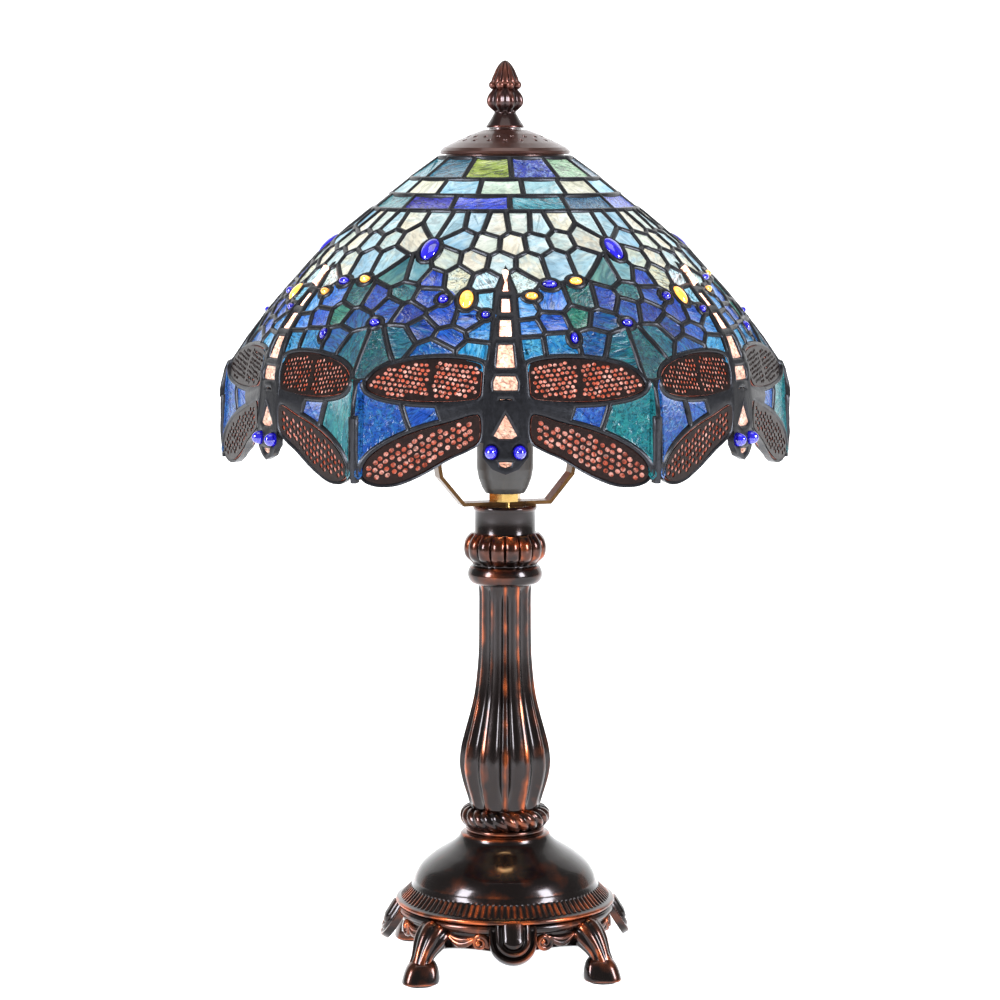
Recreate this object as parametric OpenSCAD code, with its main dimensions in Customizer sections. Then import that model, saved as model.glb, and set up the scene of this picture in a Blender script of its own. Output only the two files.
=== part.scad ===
// Table lamp with a leaded dragonfly shade on a cast bronze-finish stand.
// Millimetres, +Z up. The origin is on the surface that the lamp stands on, under the middle of the base.
// The stand faces -Y, and so does the first of the shade's dragonflies.

/* [Stand] */
// Height of the base, from the surface to the top of its dome
base_h = 72; // [70:0.5:76]
// Height of the fluted shaft
shaft_h = 121; // [110:1:130]
// Angle that the base is turned to, seen from above
base_turn = 4; // [0:1:45]
// Diameter of the hollow threaded rod that clamps the stand together
rod_d = 10; // [9.6:0.1:10.4]

/* [Harp and lampholder] */
// Height of the harp over its saddle
harp_h = 182; // [180:1:190]
// Width of the harp across its uprights
harp_w = 77; // [74:1:82]
// Width of the harp's strap
strap_w = 10; // [8:1:12]
// Angle of the harp, seen from above
harp_turn = 16; // [0:1:40]
// Diameter of the bulb's globe
globe_d = 60; // [50:1:62]

/* [Shade] */
// Width of the shade across its ridges
shade_w = 304; // [296:1:308]
// Thickness of the glass
glass_t = 3; // [2.6:0.1:3.4]
// Width of the lead between two pieces of glass
came_w = 1.8; // [1.4:0.1:2.4]

/* [Hidden] */

$fn = 96;
fit = 0.1;         // running clearance on a radius
rod_r = rod_d / 2;
bore_r = rod_r + 0.5;

// Colours
bronze = "#3a1f16";
copper = "#8a4a26";
cap_brown = "#3b231d";
brass = "#b08d4a";
black = "#1c1917";
lead_black = "#17171a";

// Heights of the stack, from the surface up
foot_h = 15.5;
ring_top_z = 33;
collar_h = 14;
shaft_z = base_h + collar_h;
knop_z = shaft_z + shaft_h;
knop_h = 28;
sleeve_z = knop_z + knop_h;
sleeve_h = 15;
saddle_z = sleeve_z + sleeve_h;
strap_t = 2;
nut_z = saddle_z + strap_t;
nut_h = 4.5;
socket_z = nut_z + nut_h;
socket_cap_h = 18;
shell_z = socket_z + socket_cap_h;
shell_h = 29.5;
harp_top_z = saddle_z + harp_h;
stud_top_z = harp_top_z + 29;
shade_z = harp_top_z + 4;      // height of the top edge of the glass
cap_z = shade_z;               // height of the cap's lower rim
finial_z = cap_z + 14.6;

// ---------------------------------------------------------------- helpers

// A turned solid with lobes round it: each row of the profile is [radius, height, lobe depth].
module lobed_turning(profile, lobes, samples, hole_r) {
    n = lobes * samples;
    rings = len(profile);
    outer = [for (p = profile, i = [0 : n - 1])
        let (a = 360 * i / n, r = p[0] - p[2] * (0.5 - 0.5 * cos(lobes * a))) [r * cos(a), r * sin(a), p[1]]];
    bore = [for (p = [profile[0], profile[rings - 1]], i = [0 : n - 1])
        let (a = 360 * i / n) [hole_r * cos(a), hole_r * sin(a), p[1]]];
    b = rings * n;             // the bore's lower ring starts here, and its upper one n later
    top = (rings - 1) * n;
    walls = [for (k = [0 : rings - 2], i = [0 : n - 1])
        let (j = (i + 1) % n) [k * n + i, (k + 1) * n + i, (k + 1) * n + j, k * n + j]];
    ends = [for (i = [0 : n - 1]) let (j = (i + 1) % n) each [
        [i, j, b + j, b + i],
        [top + i, b + n + i, b + n + j, top + j],
        [b + i, b + j, b + n + j, b + n + i]]];
    polyhedron(concat(outer, bore), concat(walls, ends), convexity = 8);
}

module tube(outer_r, inner_r, h) {
    difference() {
        cylinder(r = outer_r, h = h);
        translate([0, 0, -1]) cylinder(r = inner_r, h = h + 2);
    }
}

// ---------------------------------------------------------------- stand

foot_r = 69;                   // radius that the feet stand at
drop_r = 60;                   // radius of the ornamental drops between them

module around_base(start) {
    rotate([0, 0, base_turn]) for (i = [0 : 3]) rotate([0, 0, start + 90 * i]) children();
}

module foot_pads() {
    color("#2b2622") around_base(45) translate([foot_r, 0, 0]) cylinder(r = 7.5, h = 1.2);
}

// One paw foot, along +X: a turned hoof, and the tapered leg that carries it.
module paw_foot() {
    translate([foot_r, 0, 0]) rotate_extrude($fn = 48) polygon([
        [0, 1.2], [9.4, 1.2], [10.8, 2.6], [11, 6], [10, 9.4], [8, 12.4], [5.4, 14.6], [2.4, 15.8], [0, 16]
    ]);
    translate([foot_r - 1, 0, 10.4]) rotate([0, -47, 0]) cylinder(r1 = 6.6, r2 = 9.6, h = 17, $fn = 48);
}

// One drop ornament, along +X: a U-shaped shell that leans out from the ring.
module shell_drop() {
    translate([55.6, 0, 31.4]) rotate([0, 58, 0]) {
        for (s = [[12.6, 0, 3.4], [9.4, 3.4, 1.6], [6, 5, 1.2], [2.8, 6.2, 1]]) translate([7.8, 0, s[1]]) {
            cylinder(r = s[0], h = s[2], $fn = 48);
            translate([-7.8, -s[0], 0]) cube([7.8, 2 * s[0], s[2]]);
        }
    }
}

ring_profile = [
    [49, 24.5], [49, foot_h + 1.5], [51, foot_h], [55, foot_h], [56, 18.5], [55.4, 24], [56.4, 26.6],
    [57.4, 29.8], [57.2, ring_top_z], [47, ring_top_z], [47, 24.5]
];
cord_hole_a = 116;             // direction of the cord's way out, at the back
cord_hole_z = 23.6;

module cord_hole_frame() {
    rotate([0, 0, cord_hole_a]) translate([46, 0, cord_hole_z]) rotate([0, 90, 0]) children();
}

module apron_ring() {
    color(bronze) difference() {
        union() {
            rotate_extrude() polygon(ring_profile);
            around_base(0) shell_drop();
        }
        cord_hole_frame() translate([0, 0, -4]) cylinder(r = 4.6, h = 20, $fn = 32);
        translate([0, 0, -1]) cylinder(r = 49, h = 25.5);
        translate([0, 0, 24]) cylinder(r = 47, h = 20);
        translate([0, 0, ring_top_z]) cylinder(r = 90, h = 20);
    }
}

module paw_feet() {
    color(bronze) difference() {
        around_base(45) paw_foot();
        for (slack = [-0.03, 0.03]) rotate_extrude() translate([slack, 0]) polygon(ring_profile);
        cylinder(r = 50, h = 60);
        translate([0, 0, ring_top_z]) cylinder(r = 90, h = 20);
    }
}

module cord_bushing() {
    color(black) cord_hole_frame() difference() {
        union() {
            translate([0, 0, 4]) cylinder(r = 4.4, h = 9);
            translate([0, 0, 11.8]) cylinder(r = 6, h = 2);
        }
        translate([0, 0, -1]) cylinder(r = 3.3, h = 16);
    }
}

// The dome's outline runs up its outside, and back down its inside.
dome_profile = [
    [57.4, ring_top_z], [58, 34.6], [57, 36.8], [50.6, 42.4], [49.6, 45], [48, 49.4], [45.6, 53],
    [42, 56.4], [37.5, 59.8], [33, 62.6], [28.4, 65.6], [25.2, 68.6], [24, base_h], [bore_r, base_h],
    [bore_r, base_h - 4], [21, base_h - 4], [25.6, 62], [35, 56.4], [43, 50.5], [46, 44], [53, 36],
    [53, ring_top_z]
];
module base_dome() {
    color(bronze) rotate_extrude() polygon(dome_profile);
}

plate_z = 22.4;
module bottom_plate() {
    color("#6a6660") difference() {
        translate([0, 0, plate_z]) tube(48.6, rod_r + fit, 2);
        cord_hole_frame() translate([0, 0, -6]) cylinder(r = 4.6, h = 10);
    }
}

module clamp_nut() {
    color("#8c8a84") translate([0, 0, plate_z - 7]) difference() {
        union() {
            translate([0, 0, 5.6]) cylinder(r = 12, h = 1.4);
            cylinder(r = 9.2, h = 5.6, $fn = 6);
        }
        translate([0, 0, -1]) cylinder(r = rod_r + 0.02, h = 9);
    }
}

module threaded_rod() {
    color(brass) translate([0, 0, plate_z - 9]) tube(rod_r, 3, socket_z + 6 - plate_z + 9);
}

module rope_collar() {
    color(copper) difference() {
        union() {
            translate([0, 0, base_h + 8.4]) rotate_extrude() translate([19, 0]) circle(r = 5.6, $fn = 40);
            translate([0, 0, base_h]) cylinder(r = 19, h = collar_h);
        }
        translate([0, 0, base_h - 1]) cylinder(r = bore_r, h = collar_h + 2);
    }
}

shaft_profile = [
    [19, 0, 0.6], [20.4, 5, 1.8], [22.6, 12, 2.4], [24.2, 19, 2.6], [24.6, 25, 2.6], [23.6, 33, 2.6],
    [21.3, 42, 2.4], [18.6, 52, 2.2], [16.4, 62, 2], [15, 74, 1.8], [14.2, 86, 1.6], [14, 104, 1.6], [14, 118, 1.4],
    [14.4, shaft_h, 0.2]
];
module fluted_shaft() {
    color(bronze) translate([0, 0, shaft_z]) lobed_turning(shaft_profile, 12, 6, bore_r);
}

knop_profile = [
    [15.4, 0, 0], [18.8, 1.6, 0], [20.2, 5.4, 0], [19, 9.4, 0], [17.6, 11, 0.2], [18.8, 12.4, 1.2], [21.6, 15.6, 2],
    [22.4, 20, 2.2], [21.6, 24, 2], [19.2, 27, 1.2], [17.6, knop_h, 0]
];
module gadroon_knop() {
    color(copper) translate([0, 0, knop_z]) lobed_turning(knop_profile, 20, 4, bore_r);
}

module top_sleeve() {
    color(bronze) translate([0, 0, sleeve_z]) tube(17.2, bore_r, sleeve_h);
}

// ---------------------------------------------------------------- harp

// One side of the harp's centre line, as [x, height over the saddle], from its foot to its crown.
harp_side = [
    [0, strap_t / 2], [24, strap_t / 2], [harp_w / 2 - 2, 16], [harp_w / 2 - 1, 22], [harp_w / 2 - 1, 138],
    [31, 156], [16, harp_h - 4], [9, harp_h - strap_t / 2], [0, harp_h - strap_t / 2]
];
module harp() {
    color(brass) translate([0, 0, saddle_z]) rotate([0, 0, harp_turn]) difference() {
        rotate([90, 0, 0]) linear_extrude(strap_w, center = true) for (side = [0, 1]) mirror([side, 0])
            for (i = [0 : len(harp_side) - 2])
                let (p = harp_side[i], q = harp_side[i + 1], d = q - p, l = norm(d))
                    translate(p) rotate(atan2(d[1], d[0])) {
                        translate([0, -strap_t / 2]) square([l, strap_t]);
                        if (i > 0) circle(d = strap_t, $fn = 24);
                    }
        translate([0, 0, -1]) cylinder(r = rod_r + fit, h = strap_t + 2);
        translate([0, 0, harp_h - 4]) cylinder(r = 3.15, h = 6);
    }
}

module harp_stud() {
    color(brass) {
        translate([0, 0, harp_top_z - strap_t - 2]) cylinder(r = 5, h = 2);
        translate([0, 0, harp_top_z - strap_t - 1]) cylinder(r = 3.1, h = stud_top_z - harp_top_z + strap_t + 1);
    }
}

module saddle_nut() {
    color(brass) translate([0, 0, nut_z]) rotate([0, 0, 20]) difference() {
        cylinder(r = 9, h = nut_h, $fn = 6);
        translate([0, 0, -1]) cylinder(r = rod_r + 0.02, h = nut_h + 2);
    }
}

// ---------------------------------------------------------------- lampholder and bulb

socket_r = 15.1;
screw_r = 13;
module socket_cap() {
    color(black) translate([0, 0, socket_z]) rotate_extrude() polygon([
        [rod_r + 0.02, 0], [10.6, 0], [12.4, 3], [14.2, 8], [socket_r, 13], [socket_r, socket_cap_h],
        [12.8, socket_cap_h], [12.4, 11], [10, 6.2], [rod_r + 0.02, 6.2]
    ]);
}

module socket_shell() {
    color(black) translate([0, 0, shell_z]) {
        tube(socket_r, screw_r + 0.8, shell_h);
        translate([0, 0, shell_h - 1.6]) tube(socket_r + 0.5, socket_r - 0.2, 1.6);
    }
}

module socket_insulator() {
    color("#d8d2c4") translate([0, 0, shell_z]) cylinder(r = screw_r + 0.7, h = 3);
}

module socket_screw_shell() {
    color(brass) translate([0, 0, shell_z + 3]) tube(screw_r + 0.7, screw_r + 0.15, shell_h - 4);
}

module socket_contact() {
    color(brass) translate([0, 0, shell_z + 3]) cylinder(r = 3.4, h = 2);
}

module terminal_screws() {
    color("#a9a49a") for (side = [-1, 1]) translate([8 * side, 0, shell_z - 2.6]) {
        cylinder(r = 2.6, h = 1.4, $fn = 24);
        cylinder(r = 1.5, h = 2.6, $fn = 24);
    }
}

bulb_z = shell_z + 5;          // lowest point of the bulb, on the contact
cap_length = 24;
globe_r = globe_d / 2;
globe_z = bulb_z + cap_length + 49;
module bulb_tip() {
    color("#b9b6ae") translate([0, 0, bulb_z]) cylinder(r1 = 2.4, r2 = 4.4, h = 2, $fn = 48);
}

module bulb_base() {
    color("#b9b6ae") translate([0, 0, bulb_z + 2]) {
        cylinder(r1 = 5, r2 = 10, h = 2.4, $fn = 48);
        translate([0, 0, 2.4]) cylinder(r = screw_r, h = cap_length - 4.4);
    }
}

// The globe's outline: a neck that flares into a ball, hollow, and open where the screw base closes it.
function globe_outline(inset) = concat(
    [[screw_r - inset, bulb_z + cap_length], [screw_r + 0.8 - inset, bulb_z + cap_length + 12]],
    [for (a = [-54 : 6 : 84]) [(globe_r - inset) * cos(a), globe_z + (globe_r - inset) * sin(a)]],
    [[0, globe_z + globe_r - inset]]
);
module bulb_globe() {
    color("#f4ead2") rotate_extrude($fn = 64) polygon(concat(
        globe_outline(0), [for (i = [len(globe_outline(1)) - 1 : -1 : 0]) globe_outline(1)[i]]
    ));
}

module bulb_stem() {
    color("#d9d9d2") translate([0, 0, bulb_z + cap_length]) {
        cylinder(r1 = 9, r2 = 3, h = 16, $fn = 48);
        cylinder(r = 2, h = 62, $fn = 32);
    }
}

module bulb_filaments() {
    color("#ffd27a") translate([0, 0, bulb_z + cap_length + 24]) for (i = [0 : 3]) rotate([0, 0, 90 * i])
        translate([8, 0, 0]) cylinder(r = 1.1, h = 32, $fn = 24);
}

// ---------------------------------------------------------------- mould of the shade

segments = 6;                  // dragonflies round the shade
half_a = 180 / segments;
k_r = shade_w / 304;           // widens the whole mould
// Radius across the ridges at each depth under the shade's top edge, as [depth, radius]
ridge_rows = [[0, 34], [11.5, 50], [29.5, 73], [49, 97], [73.5, 119], [94, 136], [111, 148.5], [124, 151.5],
    [148, 152], [170, 149.5]];
dip = 0.068;                   // how much nearer the axis a dragonfly's body lies than the ridges
dip_from = 71;
dip_over = 50;

function ridge_r(z) = k_r * lookup(shade_z - z, ridge_rows);
function ease(t) = let (c = min(1, max(0, t))) c * c * (3 - 2 * c);
function facet(z) = ease((shade_z - z - dip_from) / dip_over);
// Radius at angle a from the dragonfly's axis. Low down, the wings lie flat between axis and ridge.
function mould_r(a, z) = let (
    rr = ridge_r(z), f = facet(z), rm = rr * (1 - dip * f), b = abs(a),
    flat = rm * rr * sin(half_a) / (rm * sin(b) + rr * sin(half_a - b))
) rr * (1 - f) + flat * f;
function lean(a, z) = atan((mould_r(a, z - 1) - mould_r(a, z + 1)) / 2);
// A point at angle a, height z, and w proud of the mould. Angle 0 is the -Y side of the segment.
function on_mould(a, z, w) = let (e = lean(a, z), r = mould_r(a, z) + w * cos(e))
    [r * sin(a), -r * cos(a), z + w * sin(e)];

module around_shade() {
    for (i = [0 : segments - 1]) rotate([0, 0, 360 / segments * i]) children();
}

// A piece bent to the mould: its outline holds [angle, height], anticlockwise from outside, w0 to w1 proud.
module bent(outline, w0 = -glass_t, w1 = 0) {
    n = len(outline);
    mid = [for (k = [0, 1]) let (s = [for (p = outline) p[k]]) s * [for (p = outline) 1] / n];
    pts = concat([for (w = [w0, w1], p = outline) on_mould(p[0], p[1], w)],
        [on_mould(mid[0], mid[1], w0), on_mould(mid[0], mid[1], w1)]);
    polyhedron(pts, [for (i = [0 : n - 1]) let (j = (i + 1) % n) each [
        [i, j, 2 * n], [n + j, n + i, 2 * n + 1], [i, n + i, n + j], [i, n + j, j]]], convexity = 4);
}

// A closed strip between two outlines of as many points, the outer one first.
module bent_frame(outer, inner, w0, w1) {
    n = len(outer);
    pts = [for (w = [w0, w1], line = [outer, inner], p = line) on_mould(p[0], p[1], w)];
    polyhedron(pts, [for (i = [0 : n - 1]) let (j = (i + 1) % n) each [
        [i, j, n + j], [i, n + j, n + i],
        [2 * n + i, 3 * n + j, 2 * n + j], [2 * n + i, 3 * n + i, 3 * n + j],
        [i, 2 * n + j, j], [i, 2 * n + i, 2 * n + j],
        [n + i, n + j, 3 * n + j], [n + i, 3 * n + j, 3 * n + i]]], convexity = 8);
}

// A round row of glass: its section follows the mould between two heights.
function row_section(z_top, z_low, w0, w1) = [for (q = [[z_top, w1], [z_low, w1], [z_low, w0], [z_top, w0]])
    let (e = lean(0, q[0])) [ridge_r(q[0]) + q[1] * cos(e), q[0] + q[1] * sin(e)]];
module row_tiles(z_top, z_low, count, first = 0) {
    gap_a = came_w / ridge_r(z_low) * 57.3;
    for (i = [0 : count - 1]) rotate([0, 0, first + 360 / count * i]) rotate_extrude(angle = 360 / count - gap_a)
        polygon(row_section(z_top, z_low, -glass_t, 0));
}
module row_bars(z_top, z_low, count, first = 0) {
    gap_a = came_w / ridge_r(z_low) * 57.3;
    for (i = [0 : count - 1]) rotate([0, 0, first + 360 / count * i - gap_a + 0.12])
        rotate_extrude(angle = gap_a - 0.24) polygon(row_section(z_top, z_low, -glass_t, 0.2));
}
module row_ring(z) {
    h = came_w / 2 * 0.62;
    rotate_extrude() polygon(row_section(z + h, z - h, -glass_t, 0.5));
}

// Heights of the lead rings round the crown, and of the rows in the field below them
gap = came_w / 2 * 0.72;
crown_z = [shade_z - 0.4, shade_z - 11.6, shade_z - 19.8, shade_z - 27.4];
field_z = [crown_z[3], shade_z - 42, shade_z - 58, shade_z - 75, shade_z - 93];
wing_top_z = shade_z - 94;
crease_z = shade_z - 120;

module spider() {
    color(brass) translate([0, 0, harp_top_z + 1.2]) difference() {
        union() {
            cylinder(r = 9, h = 2.6);
            intersection() {
                for (i = [0 : 2]) rotate([0, 0, 120 * i + 30]) translate([7, -3, 0.3]) cube([26, 6, 2]);
                cylinder(r = 29.42, h = 4);
            }
        }
        translate([0, 0, -1]) cylinder(r = 3.1 + fit, h = 5);
    }
}
module aperture_ring() {
    color(brass) translate([0, 0, harp_top_z + 1.2]) tube(31.3, 29.5, cap_z + 2.4 - harp_top_z - 1.2);
}
module seat_washer() {
    color("#c9c3b6") translate([0, 0, harp_top_z]) tube(9, 3.1 + fit, 1.2);
}

module crown_tiles_top() {
    color("#3f7f9a") row_tiles(crown_z[0] - gap, crown_z[1] + gap, 12, 4);
}
module crown_tiles_middle() {
    color("#bfe6e4") row_tiles(crown_z[1] - gap, crown_z[2] + gap, 16, 9);
}
module crown_tiles_lower() {
    color("#2747b8") row_tiles(crown_z[2] - gap, crown_z[3] + gap, 14, 2);
}
module crown_leading() {
    color(lead_black) {
        for (z = [crown_z[0], crown_z[1], crown_z[2], crown_z[3]]) row_ring(z);
        row_bars(crown_z[0] - gap, crown_z[1] + gap, 12, 4);
        row_bars(crown_z[1] - gap, crown_z[2] + gap, 16, 9);
        row_bars(crown_z[2] - gap, crown_z[3] + gap, 14, 2);
    }
}

// The field: rows of panes on the mould. Each row holds as many panes in a segment as its count, with the
// middle one on the dragonfly's tail left out where the tail reaches.
module field_row(row, panes, shift) {
    z1 = field_z[row] - gap - (row < 2 ? 0.7 : 0);    // wide panes lie inside the ring's curve
    z0 = field_z[row + 1] + gap;
    step = 2 * half_a / panes;
    for (i = [0 : panes - 1]) let (
        a0 = -half_a + step * (i + shift), g = came_w / ridge_r(z0) * 57.3 / 2, skip = row > 1 ? 3.2 : 0
    ) if (skip == 0 || a0 + step <= 0.01 || a0 >= -0.01) let (
        l = a0 + (abs(a0) < 0.01 ? max(skip, g) : g),
        r = a0 + step - (abs(a0 + step) < 0.01 ? max(skip, g) : g)
    ) bent([[l, z0], [r, z0], [r, z1], [l, z1]]);
}
module sky_glass() {
    color("#b5dfe2") around_shade() {
        field_row(0, 4, 0.5);
        field_row(1, 4, 0);
    }
}
module blue_glass() {
    color("#1f49b0") around_shade() {
        field_row(2, 6, 0);
        field_row(3, 6, 0);
    }
}
// A bar of lead down the mould at one angle.
bar_step = 7;
module mould_bar(a, z_low, z_top, half, w0, w1) {
    n = ceil((z_top - z_low) / bar_step);
    pts = [for (i = [0 : n]) let (z = z_low + (z_top - z_low) * i / n, s = half / ridge_r(z) * 180 / PI)
        each [for (q = [[a - s, w0], [a - s, w1], [a + s, w1], [a + s, w0]]) on_mould(q[0], z, q[1])]];
    polyhedron(pts, concat([[0, 1, 2, 3], [4 * n + 3, 4 * n + 2, 4 * n + 1, 4 * n]],
        [for (i = [0 : n - 1], k = [0 : 3]) let (m = (k + 1) % 4)
            [4 * i + k, 4 * i + 4 + k, 4 * i + 4 + m, 4 * i + m]]), convexity = 4);
}
// A closed ring of lead that follows the mould at one height, in steps that meet every axis and ridge.
ring_step = 7.5;
module mould_ring(z_mid, h, w0, w1) {
    n = 360 / ring_step;
    pts = [for (i = [0 : n - 1], q = [[z_mid - h, w0], [z_mid - h, w1], [z_mid + h, w1], [z_mid + h, w0]])
        let (a = ring_step * i, near = a - 2 * half_a * round(a / (2 * half_a)), p = on_mould(near, q[0], q[1]),
            r = norm([p[0], p[1]])) [r * sin(a), -r * cos(a), p[2]]];
    polyhedron(pts, [for (i = [0 : n - 1], k = [0 : 3]) let (j = (i + 1) % n, m = (k + 1) % 4) each [
        [4 * i + k, 4 * i + m, 4 * j + m], [4 * i + k, 4 * j + m, 4 * j + k]]], convexity = 8);
}
module field_leading() {
    color(lead_black) for (row = [1 : 4]) mould_ring(field_z[row], came_w / 4, -glass_t, 0.4);
}

// ---------------------------------------------------------------- dragonflies

// Outlines of the right-hand wings, as [angle, depth under the wings' top line], anticlockwise from outside.
upper_wing = [[3, 25], [9, 24.4], [16, 24.6], [23, 25.4], [27, 24], [28.8, 18], [28, 11.5], [24, 5.5], [17, 1.6],
    [10, 1.4], [5, 3.6], [3, 9]];
lower_wing = [[3, 29], [3.2, 42.6], [4.9, 44.6], [5, 53], [8, 56], [14, 62.6], [20, 66.6], [25, 67.6], [28.9, 65], [29, 58], [27, 50],
    [21, 41.5], [14, 34.5], [8, 30]];
function wing_on_mould(line, side) = let (pts = [for (p = line) [side * p[0], wing_top_z - p[1]]])
    side > 0 ? pts : [for (i = [len(pts) - 1 : -1 : 0]) pts[i]];
// Draws an outline in towards its middle by a share of its size.
function shrink(line, k) = let (n = len(line), c = [for (j = [0, 1]) [for (p = line) p[j]] * [for (p = line) 1] / n])
    [for (p = line) c + (p - c) * k];

module wings(line, glass_color) {
    color(glass_color) around_shade() for (side = [-1, 1])
        bent(shrink(wing_on_mould(line, side), 0.97), -glass_t + 0.4, -0.2);
}
module filigree(line) {
    color(lead_black) around_shade() for (side = [-1, 1])
        bent_frame(wing_on_mould(line, side), shrink(wing_on_mould(line, side), 0.8), 0.25, 1.5);
}
module upper_wings() { wings(upper_wing, "#b8705c"); }
module lower_wings() { wings(lower_wing, "#b8705c"); }
module upper_wing_filigree() { filigree(upper_wing); }
module lower_wing_filigree() { filigree(lower_wing); }

// Panes between the wings: one long sliver over the lower wing, and one triangle at the ridge.
skirt_panes = [
    [[8, 28.2], [13.6, 32.6], [17, 35], [18.4, 27]],
    [[19.6, 27.2], [18.8, 36.6], [22.6, 40.4], [25.4, 29.6]],
    [[24.4, 42], [27.4, 48.6], [29.2, 55], [29.2, 26.6], [27, 27.8]]
];
module skirt_glass() {
    color("#2d6f9c") around_shade() for (side = [-1, 1], pane = skirt_panes)
        bent(wing_on_mould(pane, side));
}
module skirt_leading() {
    color(lead_black) around_shade() for (side = [-1, 1])
        mould_bar(29.6 * side, wing_top_z - 64, wing_top_z - 1, 0.7, -glass_t, 0.6);
}

// The body, from the tip of the tail down: segments of glass that widen, then the thorax and the head.
body_steps = [[-36.4, -27, 0.4, 1.6], [-25.6, -17, 1.7, 1.9], [-15.6, -5.5, 1.9, 2.1], [-4, 9.5, 2.1, 2.5],
    [11, 20.5, 2.5, 2.8], [22, 25.5, 1.5, 2.4], [28, 43, 0.8, 2.8], [53, 59, 1.8, 0.6]];
module dragonfly_bodies() {
    color("#d59a86") around_shade() for (s = body_steps) let (z1 = wing_top_z - s[0], z0 = wing_top_z - s[1])
        bent([[-s[3], z0], [s[3], z0], [s[2], z1], [-s[2], z1]], 0.95, 2);
}
module dragonfly_eyes() {
    color("#1420c8") around_shade() for (side = [-1, 1])
        translate(on_mould(2.9 * side, wing_top_z - 48, 3.6)) sphere(r = 4, $fn = 40);
}

// Jewels, as [angle, depth under the shade's top edge, radius]. They stand on the leading.
blue_jewel_places = [[-24, 46.5, 6.6], [-15.5, 70, 3.6], [-4.5, 77, 3.4], [11.7, 63, 4], [15.2, 88, 4],
    [28.8, 82, 3.8]];
amber_jewel_places = [[-9.6, 70, 5], [6.4, 69, 3.6], [19, 62, 3.6]];
module jewels(places) {
    around_shade() for (p = places) let (z = shade_z - p[1], k = 180 / PI / ridge_r(z))
        bent([for (a = [36 : 36 : 360]) [p[0] + p[2] * k * cos(a), z + p[2] * sin(a)]], 0.7, 0.7 + p[2] * 0.5);
}
module blue_jewels() { color("#1a12c4") jewels(blue_jewel_places); }
module amber_jewels() { color("#e0993c") jewels(amber_jewel_places); }

// ---------------------------------------------------------------- cap and finial

module vented_cap() {
    color(cap_brown) translate([0, 0, cap_z]) difference() {
        rotate_extrude() polygon([
            [34.2, 1], [34.6, 1.8], [34.2, 2.8], [32.6, 4.4], [28, 6.8], [24.4, 8.4], [17.5, 11.6], [11.4, 13.8],
            [3.1 + fit, 14], [3.1 + fit, 12.8], [11, 12.6], [17, 10.4], [24, 7.2], [27.6, 5.2], [29.4, 4.2],
            [29.4, 2.4], [33.2, 2.4], [33.2, 1]
        ]);
        for (i = [0 : 17]) rotate([0, 0, 20 * i]) {
            translate([20.4, 0, 0]) cylinder(r = 1.25, h = 20, $fn = 24);
            rotate([0, 0, 10]) translate([24.6, 0, 0]) cylinder(r = 1.25, h = 20, $fn = 24);
        }
    }
}

module finial_washer() {
    color(brass) translate([0, 0, cap_z + 14]) tube(8.6, 3.1 + fit, 0.6);
}

// The finial's outline, from its flange to its tip, over the top of the washer.
finial_outline = [
    [10, 0], [10, 1.2], [9.2, 2.4], [7.6, 4.8], [6.6, 7], [6.6, 8.4], [9, 10.2], [10.2, 13.8], [9.2, 17.6], [6.9, 20.4],
    [7.5, 22.4], [8.3, 24.4], [7.2, 26.4], [6, 27.6], [5.2, 30], [3.4, 33.4], [1.4, 35.2], [0, 35.6]
];
module finial() {
    color(cap_brown) translate([0, 0, finial_z]) difference() {
        rotate_extrude($fn = 64) polygon(concat(finial_outline, [[0, 0]]));
        translate([0, 0, -1]) cylinder(r = 3.1 + fit, h = stud_top_z - finial_z + 2);
    }
}

// ---------------------------------------------------------------- the lamp

foot_pads();
paw_feet();
apron_ring();
base_dome();
bottom_plate();
clamp_nut();
cord_bushing();
rope_collar();
fluted_shaft();
gadroon_knop();
top_sleeve();
threaded_rod();
harp();
harp_stud();
saddle_nut();
socket_cap();
socket_shell();
socket_insulator();
socket_screw_shell();
socket_contact();
terminal_screws();
bulb_tip();
bulb_base();
bulb_globe();
bulb_stem();
bulb_filaments();
seat_washer();
spider();
aperture_ring();
crown_tiles_top();
crown_tiles_middle();
crown_tiles_lower();
sky_glass();
blue_glass();
crown_leading();
field_leading();
skirt_glass();
skirt_leading();
upper_wings();
lower_wings();
upper_wing_filigree();
lower_wing_filigree();
dragonfly_bodies();
dragonfly_eyes();
blue_jewels();
amber_jewels();
vented_cap();
finial_washer();
finial();
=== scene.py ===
# %% [markdown]
# # A table lamp with a leaded dragonfly shade
#
# The lamp's structure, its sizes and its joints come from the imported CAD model. This lesson gives every part
# its finished look. It works in millimetres, and each finished mesh is scaled to metres at the very end.
# Pieces that only need a better surface keep their CAD mesh. Pieces that need a finer shape are modelled
# again with bmesh operators, at the sizes of the CAD part that they stand for.

# %% Load the frame
import bisect
import math
import random

import bmesh
import bpy
from mathutils import Matrix, Vector, noise
from mathutils.geometry import delaunay_2d_cdt


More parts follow.
